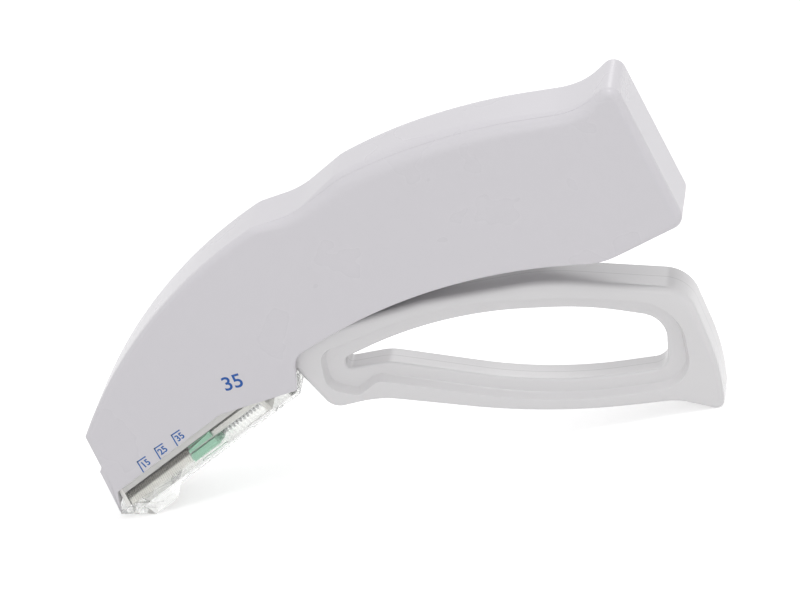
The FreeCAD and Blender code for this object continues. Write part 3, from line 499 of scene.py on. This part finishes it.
def trigger_lever():
    bm = bmesh.new()
    rim = rounded_outline(LEVER_CORNERS, spacing=3)
    rim_in = inward(rim)
    recess = rounded_outline(RECESS_CORNERS, spacing=3)
    recess_in = inward(recess)
    loop = rounded_outline(LOOP_CORNERS, spacing=3)
    loop_out = [-step for step in inward(loop)]

    def level(points, steps, inset, depth):
        return ring(bm, points, steps, [inset] * len(points), [depth] * len(points))

    outside, inside = [], []
    for side in (-1, 1):
        rows = []
        for step in range(6):
            arc = [rounded_edge(point[2], step / 5, point[2]) for point in rim]
            rows.append(ring(bm, rim, rim_in, [place[0] for place in arc],
                             [side * (LEVER_SIDE - place[1]) for place in arc]))
        support = ring(bm, rim, rim_in, [point[2] + FLAT_START for point in rim],
                       [side * LEVER_SIDE] * len(rim))
        slope = [level(recess, recess_in, -RECESS_LIP[0], side * LEVER_SIDE),
                 level(recess, recess_in, 0.0, side * (LEVER_SIDE - RECESS_LIP[1])),
                 level(recess, recess_in, RECESS_SLOPE - RECESS_FOOT[0],
                       side * (LEVER_WEB + RECESS_FOOT[1])),
                 level(recess, recess_in, RECESS_SLOPE, side * LEVER_WEB),
                 level(recess, recess_in, RECESS_SLOPE + FLAT_START, side * LEVER_WEB)]
        edge = [rounded_edge(LOOP_ROUND, step / 4, LOOP_ROUND) for step in range(5)]
        hole = [level(loop, loop_out, LOOP_ROUND + FLAT_START, side * LEVER_WEB)]
        hole += [level(loop, loop_out, inset, side * (LEVER_WEB - depth)) for inset, depth in edge]
        joined_rings(bm, [support] + rows)
        joined_rings(bm, slope)
        joined_rings(bm, hole)
        filled_between(bm, support, slope[0])
        filled_between(bm, slope[-1], hole[0])
        outside.append(rows[-1])
        inside.append(hole[-1])
    joined_rings(bm, outside)
    joined_rings(bm, inside)
    arm_x, arm_z = PIVOT[0] - DRIVE_PIN[0], PIVOT[1] - DRIVE_PIN[1]
    length = math.hypot(arm_x, arm_z)
    along = Vector((arm_x, arm_z)) / length
    up = Vector((-along.y, along.x))
    fork = FORK_LENGTH / length

    def on_arm(share, height):
        return tuple(Vector(DRIVE_PIN) + along * length * share + up * height)

    fork_height = ARM_TIP + (ARM_ROOT - ARM_TIP) * fork
    prism(bm, [on_arm(fork, -fork_height), on_arm(1, -ARM_ROOT), on_arm(1, ARM_ROOT),
               on_arm(fork, fork_height)], -CHEEK_OUT, CHEEK_OUT)
    for near, far in ((-CHEEK_OUT, -CHEEK_IN), (CHEEK_IN, CHEEK_OUT)):
        prism(bm, [on_arm(0, -ARM_TIP), on_arm(fork, -fork_height), on_arm(fork, fork_height),
                   on_arm(0, ARM_TIP)], near, far)
        prism(bm, circle(DRIVE_PIN, ARM_TIP), near, far)
    boss_side = LEVER_SIDE - BOSS_BACK
    prism(bm, circle(PIVOT, PIVOT_BOSS, 64), -boss_side, boss_side)
    for mark in PIN_MARKS:
        for side in (-1, 1):
            prism(bm, circle(mark, PIN_MARK_RADIUS, 24),
                  side * (LEVER_WEB - PIN_MARK_SUNK), side * (LEVER_WEB + PIN_MARK_RISE))
    return finished_mesh("trigger_lever_moulding", bm, lever_plastic)


lever_plastic = moulded_plastic("lever_plastic", (0.79, 0.78, 0.79), 0.22)
add_parting_line(lever_plastic)
lever = trigger_lever()
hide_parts("trigger_lever")
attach(lever, "trigger")


# Magazine: a clear moulding with a channel for the row of staples.  Its nose
# is the foot that is set on the skin, with a recessed side, an opening beside
# the anvil and two slots in each wall.
CROWN = (-7.2, 5.7)
FIRE_LEAN = math.radians(20.2)
CHANNEL_SIDE = 6.2
MAGAZINE_SIDE = 6.9
FOOT_RECESS = [(2.2, -2.9), (5.0, -3.4), (11.4, -4.0), (12.1, -3.7), (11.1, -6.6), (6.0, -7.4), (3.4, -6.0)]
FOOT_OPENING = [(-0.1, -3.1), (2.95, -5.3), (1.1, -6.3), (-1.25, -4.4)]
WALL_SLOTS = [[(22.3, -4.7), (30.9, -4.7), (30.9, -5.15), (22.3, -5.15)],
              [(38.2, -4.7), (45.5, -4.7), (45.5, -5.15), (38.2, -5.15)]]
RECESS_DEPTH = 0.35
MAGAZINE_BEVEL = 0.16
MATT_BAND_UP = 0.75


def in_use(lean, place=CROWN):
    """Turns a point of a leaning frame, along and up, into one of the stapler in use."""
    return lambda along, up: (place[0] + along * math.cos(lean) - up * math.sin(lean),
                              place[1] + along * math.sin(lean) + up * math.cos(lean))


feed = in_use(FEED_LEAN)
fire = in_use(FIRE_LEAN)


def refined(name, mesh, cutters, material, bevel=0):
    """A copy of a solid's mesh with shapes cut out of it.

    A bevel, where one is given, takes only the edges that two faces share.
    """
    rough = bpy.data.objects.new(name + "_rough", mesh.copy())
    bpy.context.scene.collection.objects.link(rough)
    helpers = []
    for points, near, far in cutters:
        bm = bmesh.new()
        prism(bm, points, near, far)
        bmesh.ops.recalc_face_normals(bm, faces=bm.faces)
        block = bpy.data.meshes.new("cutter")
        bm.to_mesh(block)
        bm.free()
        helper = bpy.data.objects.new("cutter", block)
        bpy.context.scene.collection.objects.link(helper)
        helpers.append(helper)
        cutting = rough.modifiers.new("cut", "BOOLEAN")
        cutting.operation = "DIFFERENCE"
        cutting.object = helper
    if bevel:
        softening = rough.modifiers.new("bevel", "BEVEL")
        softening.width = bevel * MM
        softening.segments = 2
        softening.angle_limit = math.radians(25)
    bpy.context.view_layer.update()
    shaped = bpy.data.meshes.new_from_object(rough.evaluated_get(bpy.context.evaluated_depsgraph_get()))
    for helper in helpers + [rough]:
        bpy.data.objects.remove(helper)
    bm = bmesh.new()
    bm.from_mesh(shaped)
    shaped.materials.clear()
    return finished_mesh(name, bm, material)


def clear_plastic(name, colour, roughness, transmission, alpha):
    """Clear plastic: it bends light, with a faint ripple of the mould and fine wear."""
    material = bpy.data.materials.new(name)
    material.use_nodes = True
    tree = material.node_tree
    shader = tree.nodes["Principled BSDF"]
    shader.inputs["Base Color"].default_value = (*colour, 1)
    shader.inputs["Transmission Weight"].default_value = transmission
    shader.inputs["IOR"].default_value = 1.45
    shader.inputs["Alpha"].default_value = alpha
    place = tree.nodes.new("ShaderNodeTexCoord")
    ripple = tree.nodes.new("ShaderNodeTexNoise")
    ripple.inputs["Scale"].default_value = 220
    tree.links.new(place.outputs["Object"], ripple.inputs["Vector"])
    wear = tree.nodes.new("ShaderNodeMapRange")
    wear.inputs["From Min"].default_value = 0.35
    wear.inputs["From Max"].default_value = 0.75
    wear.inputs["To Min"].default_value = roughness
    wear.inputs["To Max"].default_value = roughness + 0.06
    tree.links.new(ripple.outputs["Fac"], wear.inputs["Value"])
    tree.links.new(wear.outputs["Result"], shader.inputs["Roughness"])
    bump = tree.nodes.new("ShaderNodeBump")
    bump.inputs["Strength"].default_value = 0.25
    bump.inputs["Distance"].default_value = 0.00001
    tree.links.new(ripple.outputs["Fac"], bump.inputs["Height"])
    tree.links.new(bump.outputs["Normal"], shader.inputs["Normal"])
    return material


def frosted_above(piece, up, outside, material):
    """The matt upper band on the outside of a clear piece's walls."""
    bm = bmesh.new()
    bm.from_mesh(piece.data)
    level = placed(feed(0, up))
    upwards = (placed(feed(0, up + 1)) - level).normalized()
    everything = bm.verts[:] + bm.edges[:] + bm.faces[:]
    bmesh.ops.bisect_plane(bm, geom=everything, plane_co=level, plane_no=upwards)
    for face in bm.faces:
        middle = face.calc_center_median()
        if (middle - level).dot(upwards) > 0 and abs(middle.y) > outside * MM:
            face.material_index = 1
    bm.to_mesh(piece.data)
    bm.free()
    piece.data.materials.append(material)


magazine_plastic = clear_plastic("magazine_plastic", (0.945, 0.95, 0.935), 0.02, 1.0, 0.85)
matt_plastic = clear_plastic("magazine_matt_band", (0.90, 0.895, 0.87), 0.35, 0.15, 0.95)
cuts = []
for side in (-1, 1):
    wall_cut = sorted((side * (CHANNEL_SIDE - 0.1), side * (MAGAZINE_SIDE + 1)))
    recess_cut = sorted((side * (MAGAZINE_SIDE - RECESS_DEPTH), side * (MAGAZINE_SIDE + 1)))
    cuts.append(([feed(*corner) for corner in FOOT_RECESS], *recess_cut))
    cuts.append(([feed(*corner) for corner in FOOT_OPENING], *wall_cut))
    for slot in WALL_SLOTS:
        cuts.append(([feed(*corner) for corner in slot], *wall_cut))
magazine = refined("magazine_moulding", nodes["magazine_body"].data, cuts, magazine_plastic, MAGAZINE_BEVEL)
frosted_above(magazine, MATT_BAND_UP, CHANNEL_SIDE + 0.2, matt_plastic)
end_cap = refined("magazine_end_block", nodes["magazine_end_cap"].data, [], magazine_plastic)
for piece, node in ((magazine, "magazine_body"), (end_cap, "magazine_end_cap")):
    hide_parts(node)
    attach(piece, "housing")


# Follower: a green moulding behind the row.  On each side it shows as two bars
# with a gap between them, joined at the rear, that run past the track.
FOLLOWER_GAP = [(18.0, -1.62), (27.6, -1.35), (30.0, -1.35), (30.0, -2.05), (18.0, -2.05)]
FOLLOWER_TOP = [(19.0, 1.5), (19.0, -0.85), (27.8, -0.05), (30.0, 1.5)]
FOLLOWER_FOOT = [(17.0, -3.75), (27.9, -3.35), (30.0, -3.2), (30.0, -5.5), (17.0, -5.5)]
FOLLOWER_INSIDE = 5.2
FOLLOWER_BEVEL = 0.18

follower_plastic = moulded_plastic("follower_plastic", (0.40, 0.74, 0.55), 0.35)
bar_cuts = [([feed(*corner) for corner in cut], *sorted((side * FOLLOWER_INSIDE, side * MAGAZINE_SIDE)))
            for cut in (FOLLOWER_GAP, FOLLOWER_TOP, FOLLOWER_FOOT) for side in (-1, 1)]
follower = refined("follower_moulding", nodes["follower"].data, bar_cuts, follower_plastic, FOLLOWER_BEVEL)
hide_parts("follower")
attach(follower, "feed")


# Staples: bright steel wire, bent square, with pointed legs.  One waits under
# the driver's blade and 34 stand behind it in a row.
WIRE = 0.56
STAPLE_SIDE = 6.15
STAPLE_LEG = 4.2
STAPLE_BEND = 0.7
STAPLE_POINT = 1.1
STAPLE_GAP = 0.02
ROW_COUNT = 34


def wire_along(bm, path, radii, sides=10):
    """A closed round wire along a path of points in metres, with a radius in mm at each."""
    rows = []
    before = (path[1] - path[0]).normalized()
    normal = before.orthogonal().normalized()
    for index, point in enumerate(path):
        after = (path[min(index + 1, len(path) - 1)] - path[max(index - 1, 0)]).normalized()
        normal = before.rotation_difference(after) @ normal
        before = after
        other = after.cross(normal).normalized()
        rows.append([bm.verts.new(point + (normal * math.cos(math.tau * step / sides)
                                           + other * math.sin(math.tau * step / sides)) * radii[index] * MM)
                     for step in range(sides)])
    joined_rings(bm, rows)
    bm.faces.new(rows[0])
    bm.faces.new(rows[-1])


def staple():
    bm = bmesh.new()
    half = STAPLE_SIDE - WIRE / 2
    leg = [(-half, -STAPLE_LEG, 0.05), (-half, -STAPLE_LEG + STAPLE_POINT / 2, 0.6),
           (-half, -STAPLE_LEG + STAPLE_POINT, 1.0)]
    bend = [(-half + STAPLE_BEND * (1 - math.cos(math.radians(angle))),
             STAPLE_BEND * (math.sin(math.radians(angle)) - 1), 1.0) for angle in range(0, 91, 15)]
    left = leg + bend
    whole = left + [(-across, up, share) for across, up, share in reversed(left)]
    path = []
    for across, up, share in whole:
        path.append(placed(fire(0, up), across))
    wire_along(bm, path, [WIRE / 2 * share for across, up, share in whole])
    return bm


def row_of(name, source, count, step, material):
    """Copies of a piece in a straight row, as one plain mesh."""
    group = bpy.data.node_groups.new(name, "GeometryNodeTree")
    kinds = {"Piece": "NodeSocketObject", "Count": "NodeSocketInt", "Step": "NodeSocketVector",
             "Finish": "NodeSocketMaterial"}
    sockets = {label: group.interface.new_socket(label, in_out="INPUT", socket_type=kind).identifier
               for label, kind in kinds.items()}
    group.interface.new_socket("Geometry", in_out="OUTPUT", socket_type="NodeSocketGeometry")
    given = group.nodes.new("NodeGroupInput")
    line = group.nodes.new("GeometryNodeMeshLine")
    piece = group.nodes.new("GeometryNodeObjectInfo")
    copies = group.nodes.new("GeometryNodeInstanceOnPoints")
    real = group.nodes.new("GeometryNodeRealizeInstances")
    finish = group.nodes.new("GeometryNodeSetMaterial")
    result = group.nodes.new("NodeGroupOutput")
    group.links.new(given.outputs["Count"], line.inputs["Count"])
    group.links.new(given.outputs["Step"], line.inputs["Start Location"])
    group.links.new(given.outputs["Step"], line.inputs["Offset"])
    group.links.new(given.outputs["Piece"], piece.inputs["Object"])
    group.links.new(line.outputs["Mesh"], copies.inputs["Points"])
    group.links.new(piece.outputs["Geometry"], copies.inputs["Instance"])
    group.links.new(copies.outputs["Instances"], real.inputs["Geometry"])
    group.links.new(real.outputs["Geometry"], finish.inputs["Geometry"])
    group.links.new(given.outputs["Finish"], finish.inputs["Material"])
    group.links.new(finish.outputs["Geometry"], result.inputs["Geometry"])
    holder = bpy.data.objects.new(name + "_holder", bpy.data.meshes.new(name))
    bpy.context.scene.collection.objects.link(holder)
    repeat = holder.modifiers.new("row", "NODES")
    repeat.node_group = group
    for label, value in (("Piece", source), ("Count", count), ("Step", step), ("Finish", material)):
        repeat[sockets[label]] = value
    bpy.context.view_layer.update()
    mesh = bpy.data.meshes.new_from_object(holder.evaluated_get(bpy.context.evaluated_depsgraph_get()))
    bpy.data.objects.remove(holder)
    row = bpy.data.objects.new(name, mesh)
    bpy.context.scene.collection.objects.link(row)
    return row


def drawn_steel(name, colour, roughness, streak=900, depth=0.000003):
    """Bright steel with faint drawing lines along it and patches of duller skin."""
    material = bpy.data.materials.new(name)
    material.use_nodes = True
    tree = material.node_tree
    shader = tree.nodes["Principled BSDF"]
    shader.inputs["Metallic"].default_value = 1.0
    place = tree.nodes.new("ShaderNodeTexCoord")
    stretch = tree.nodes.new("ShaderNodeMapping")
    stretch.inputs["Rotation"].default_value = (0, FEED_LEAN - STAND_TILT, 0)
    stretch.inputs["Scale"].default_value = (0.08, 1, 1)
    tree.links.new(place.outputs["Object"], stretch.inputs["Vector"])
    lines = tree.nodes.new("ShaderNodeTexNoise")
    lines.inputs["Scale"].default_value = streak
    lines.inputs["Detail"].default_value = 4
    tree.links.new(stretch.outputs["Vector"], lines.inputs["Vector"])
    tint = tree.nodes.new("ShaderNodeMix")
    tint.data_type = "RGBA"
    tint.inputs["A"].default_value = [part * 0.86 for part in colour] + [1]
    tint.inputs["B"].default_value = [min(1, part * 1.1) for part in colour] + [1]
    tree.links.new(lines.outputs["Fac"], tint.inputs["Factor"])
    tree.links.new(tint.outputs["Result"], shader.inputs["Base Color"])
    gloss = tree.nodes.new("ShaderNodeMapRange")
    gloss.inputs["To Min"].default_value = roughness - 0.08
    gloss.inputs["To Max"].default_value = roughness + 0.08
    tree.links.new(lines.outputs["Fac"], gloss.inputs["Value"])
    tree.links.new(gloss.outputs["Result"], shader.inputs["Roughness"])
    bump = tree.nodes.new("ShaderNodeBump")
    bump.inputs["Strength"].default_value = 0.3
    bump.inputs["Distance"].default_value = depth
    tree.links.new(lines.outputs["Fac"], bump.inputs["Height"])
    tree.links.new(bump.outputs["Normal"], shader.inputs["Normal"])
    return material


def painted_shade_on_crowns(material, up, upwards):
    """Painted shade on the crowns of the row: darker than the bright legs, where little light reaches them
    from above.
    """
    tree = material.node_tree
    shader = tree.nodes["Principled BSDF"]
    coloured = shader.inputs["Base Color"].links[0].from_socket
    height = tree.nodes.new("ShaderNodeVectorMath")
    height.operation = "DOT_PRODUCT"
    height.inputs[1].default_value = upwards
    tree.links.new(tree.nodes["Texture Coordinate"].outputs["Object"], height.inputs[0])
    level = placed(feed(0, up)).dot(upwards)
    share = tree.nodes.new("ShaderNodeMapRange")
    share.inputs["From Min"].default_value = level - 0.0003
    share.inputs["From Max"].default_value = level + 0.0003
    tree.links.new(height.outputs["Value"], share.inputs["Value"])
    # the dark colour mixed in here is painted shade on the crowns
    mixed = tree.nodes.new("ShaderNodeMix")
    mixed.data_type = "RGBA"
    mixed.inputs["B"].default_value = (0.20, 0.19, 0.175, 1)
    tree.links.new(share.outputs["Result"], mixed.inputs["Factor"])
    tree.links.new(coloured, mixed.inputs["A"])
    tree.links.new(mixed.outputs["Result"], shader.inputs["Base Color"])


staple_steel = drawn_steel("staple_wire", (0.84, 0.825, 0.80), 0.3)
feed_along = (placed(feed(1, 0)) - placed(CROWN)).normalized()
feed_up = (placed(feed(0, 1)) - placed(CROWN)).normalized()
fire_up = (placed(fire(0, 1)) - placed(CROWN)).normalized()
ready = finished_mesh("ready_staple", staple(), staple_steel, sharp=50)
ready.modifiers.clear()
pitch = (WIRE + STAPLE_GAP) / math.cos(FEED_LEAN - FIRE_LEAN)
stack = row_of("staple_row", ready, ROW_COUNT, feed_along * pitch * MM, staple_steel)
# painted shade: the crowns of the row are darkened above the legs
painted_shade_on_crowns(staple_steel, -1.5, feed_up)
FOLDED_UP = -6.45
ROW_END = 44.2
for piece, node in ((ready, "loaded_staple"), (stack, "staple_stack")):
    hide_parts(node)
    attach(piece, "housing")
placed(fire(0, FOLDED_UP))
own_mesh(ready)
placed(feed(ROW_END, 0))
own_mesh(stack)


# Springs: hard-drawn wire, each end closed by a turn that lies flat.  The
# return spring lifts the lever, the long thin one pushes the follower.
RETURN_SPRING = {"radius": 2.6, "wire": 0.8, "turns": 8.5, "start": 2.2, "length": 17.0}
RETURN_FOOT = (56.0, 58.0)
RETURN_LEAN = math.radians(20.6)
FEED_SPRING = {"radius": 1.1, "wire": 0.34, "turns": 21.0, "start": 28.83, "length": 23.97}
FEED_SPRING_UP = -3.75
CLOSED_TURN = 1.0


def coil(spring, place):
    """A coil whose ends are closed; place gives the point for along, up and across."""
    wire, turns = spring["wire"], spring["turns"]
    first, last = wire / 2, spring["length"] - wire / 2
    open_turns = turns - 2 * CLOSED_TURN
    path = []
    steps = round(turns * 24)
    for step in range(steps + 1):
        turn = turns * step / steps
        if turn < CLOSED_TURN:
            height = first + wire * turn
        elif turn > turns - CLOSED_TURN:
            height = last - wire * (turns - turn)
        else:
            share = (turn - CLOSED_TURN) / open_turns
            height = first + wire * CLOSED_TURN + (last - first - 2 * wire * CLOSED_TURN) * share
        angle = math.tau * turn
        path.append(place(spring["start"] + height, spring["radius"] * math.cos(angle),
                          spring["radius"] * math.sin(angle)))
    bm = bmesh.new()
    wire_along(bm, path, [wire / 2] * len(path), sides=12)
    return bm


def in_feed_spring(along, up, across):
    return placed(feed(along, FEED_SPRING_UP + up), across)


def in_return_spring(along, up, across):
    return placed(in_use(RETURN_LEAN, RETURN_FOOT)(up, along), across)


spring_wire = drawn_steel("spring_wire", (0.50, 0.50, 0.51), 0.3)
lift = finished_mesh("lever_spring", coil(RETURN_SPRING, in_return_spring), spring_wire, sharp=50)
push = finished_mesh("follower_spring", coil(FEED_SPRING, in_feed_spring), spring_wire, sharp=50)
for piece, node in ((lift, "return_spring"), (push, "feed_spring")):
    piece.modifiers.clear()
    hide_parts(node)
in_return_spring(RETURN_SPRING["start"] + 0.4, 0, 0)
in_return_spring(RETURN_SPRING["start"] + RETURN_SPRING["length"] - 0.4, 0, 0)
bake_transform(lift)
in_feed_spring(FEED_SPRING["start"] + 0.2, 0, 0)
in_feed_spring(FEED_SPRING["start"] + FEED_SPRING["length"] - 0.2, 0, 0)
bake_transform(push)


# Steel plates and pins: stamped track, anvil and guide, the driver's blade,
# leaf springs and turned pins, with the driver's grey moulded head.
def dressed(name, node, material, body):
    """A plain stamped, turned or moulded piece in the shape of its solid, with its finish."""
    piece = refined(name, nodes[node].data, [], material)
    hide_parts(node)
    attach(piece, body)


plate_steel = drawn_steel("plate_steel_finish", (0.66, 0.65, 0.63), 0.38)
pin_steel = drawn_steel("pin_steel_finish", (0.58, 0.58, 0.60), 0.22)
carrier_plastic = moulded_plastic("carrier_plastic", (0.55, 0.56, 0.58), 0.45)
for node, body in (("anvil", "housing"), ("driver_guide", "housing"), ("staple_track", "housing"),
                   ("cover_strip", "housing"), ("ejector_spring", "housing"), ("click_spring", "housing"),
                   ("driver_blade", "driver")):
    dressed(node + "_stamping", node, plate_steel, body)
for node, body in (("drive_pin", "trigger"), ("pivot_pin", "housing"), ("spring_rod", "housing")):
    dressed(node + "_turned", node, pin_steel, body)
dressed("driver_head", "driver_carrier", carrier_plastic, "driver")


# Floor, light and camera: a white table, three soft lamps in a white room and
# a long lens that looks down at the stapler by 30 degrees.
PHOTO_TILT = STAND_TILT + math.radians(3.7)
VIEW_TURN, VIEW_RISE = math.radians(5.9), math.radians(30.5)
VIEW_DISTANCE = 1800.0
VIEW_AIM = (62.696, -9.0, 67.906)
LENS_PER_WIDTH = 9.0
SENSOR = 36.0
ROOM_LIGHT = 0.66
FLOOR_SIZE = 4
FLOOR_COLOUR = (0.85, 0.85, 0.85, 1)
FLOOR_LIFT = 0.5

# lamp: place beside the stapler as the picture shows it, width, power
LAMPS = {
    "overhead": ((0.0, -0.15, 1.2), 0.45, 3.3),
    "rear_sheen": ((-0.05, 1.05, 0.75), 0.4, 0.9),
    "front_fill": ((-0.1, -1.1, 0.42), 0.8, 1.2),
}


def as_photographed(vector):
    """A direction as the stapler is held in the picture, turned to how it stands here."""
    return Matrix.Rotation(PHOTO_TILT, 3, "Y") @ vector


def seen_directly(tree, unseen, seen):
    """A strength for what the camera, metal and clear plastic see, and one for the light itself."""
    path = tree.nodes.new("ShaderNodeLightPath")
    value = path.outputs["Is Camera Ray"]
    for name in ("Is Glossy Ray", "Is Transmission Ray"):
        either = tree.nodes.new("ShaderNodeMath")
        either.operation = "MAXIMUM"
        tree.links.new(value, either.inputs[0])
        tree.links.new(path.outputs[name], either.inputs[1])
        value = either.outputs["Value"]
    strength = tree.nodes.new("ShaderNodeMapRange")
    strength.inputs["To Min"].default_value = unseen
    strength.inputs["To Max"].default_value = seen
    tree.links.new(value, strength.inputs["Value"])
    return strength.outputs["Result"]


def studio():
    scene = bpy.context.scene
    back = Vector((math.sin(VIEW_TURN) * math.cos(VIEW_RISE), -math.cos(VIEW_TURN) * math.cos(VIEW_RISE),
                   math.sin(VIEW_RISE)))
    right = Vector((math.cos(VIEW_TURN), math.sin(VIEW_TURN), 0))
    back, right = as_photographed(back), as_photographed(right)
    up = back.cross(right)
    aim = as_photographed(Vector(VIEW_AIM)) + Vector((STAND_X, 0, 0))
    data = bpy.data.cameras.new("camera")
    data.sensor_width = SENSOR
    data.lens = SENSOR * LENS_PER_WIDTH
    data.clip_start, data.clip_end = 0.1, 20
    camera = bpy.data.objects.new("camera", data)
    scene.collection.objects.link(camera)
    turn = Matrix((right, up, back)).transposed().to_4x4()
    camera.matrix_world = Matrix.Translation((aim + back * VIEW_DISTANCE) * MM) @ turn
    scene.camera = camera
    scene.view_settings.view_transform = "Standard"

    world = bpy.data.worlds.new("white_room")
    scene.world = world
    world.use_nodes = True
    tree = world.node_tree
    backdrop = tree.nodes["Background"]
    backdrop.inputs["Color"].default_value = (1, 1, 1, 1)
    tree.links.new(seen_directly(tree, ROOM_LIGHT, 1.0), backdrop.inputs["Strength"])

    for name, (offset, size, power) in LAMPS.items():
        lamp = bpy.data.lights.new(name, "AREA")
        lamp.shape = "DISK"
        lamp.size = size
        lamp.energy = power
        holder = bpy.data.objects.new(name, lamp)
        scene.collection.objects.link(holder)
        place = aim * MM + as_photographed(Vector(offset))
        holder.location = place
        holder.rotation_euler = (place - aim * MM).to_track_quat("Z", "Y").to_euler()

    bm = bmesh.new()
    bmesh.ops.create_grid(bm, x_segments=1, y_segments=1, size=FLOOR_SIZE)
    mesh = bpy.data.meshes.new("floor")
    bm.to_mesh(mesh)
    bm.free()
    floor = bpy.data.objects.new("floor", mesh)
    scene.collection.objects.link(floor)
    material = bpy.data.materials.new("floor_white")
    material.use_nodes = True
    shader = material.node_tree.nodes["Principled BSDF"]
    shader.inputs["Base Color"].default_value = FLOOR_COLOUR
    shader.inputs["Roughness"].default_value = 1.0
    shader.inputs["Specular IOR Level"].default_value = 0.0
    shader.inputs["Emission Color"].default_value = (1, 1, 1, 1)
    material.node_tree.links.new(seen_directly(material.node_tree, 0.0, FLOOR_LIFT),
                                 shader.inputs["Emission Strength"])
    mesh.materials.append(material)


studio()
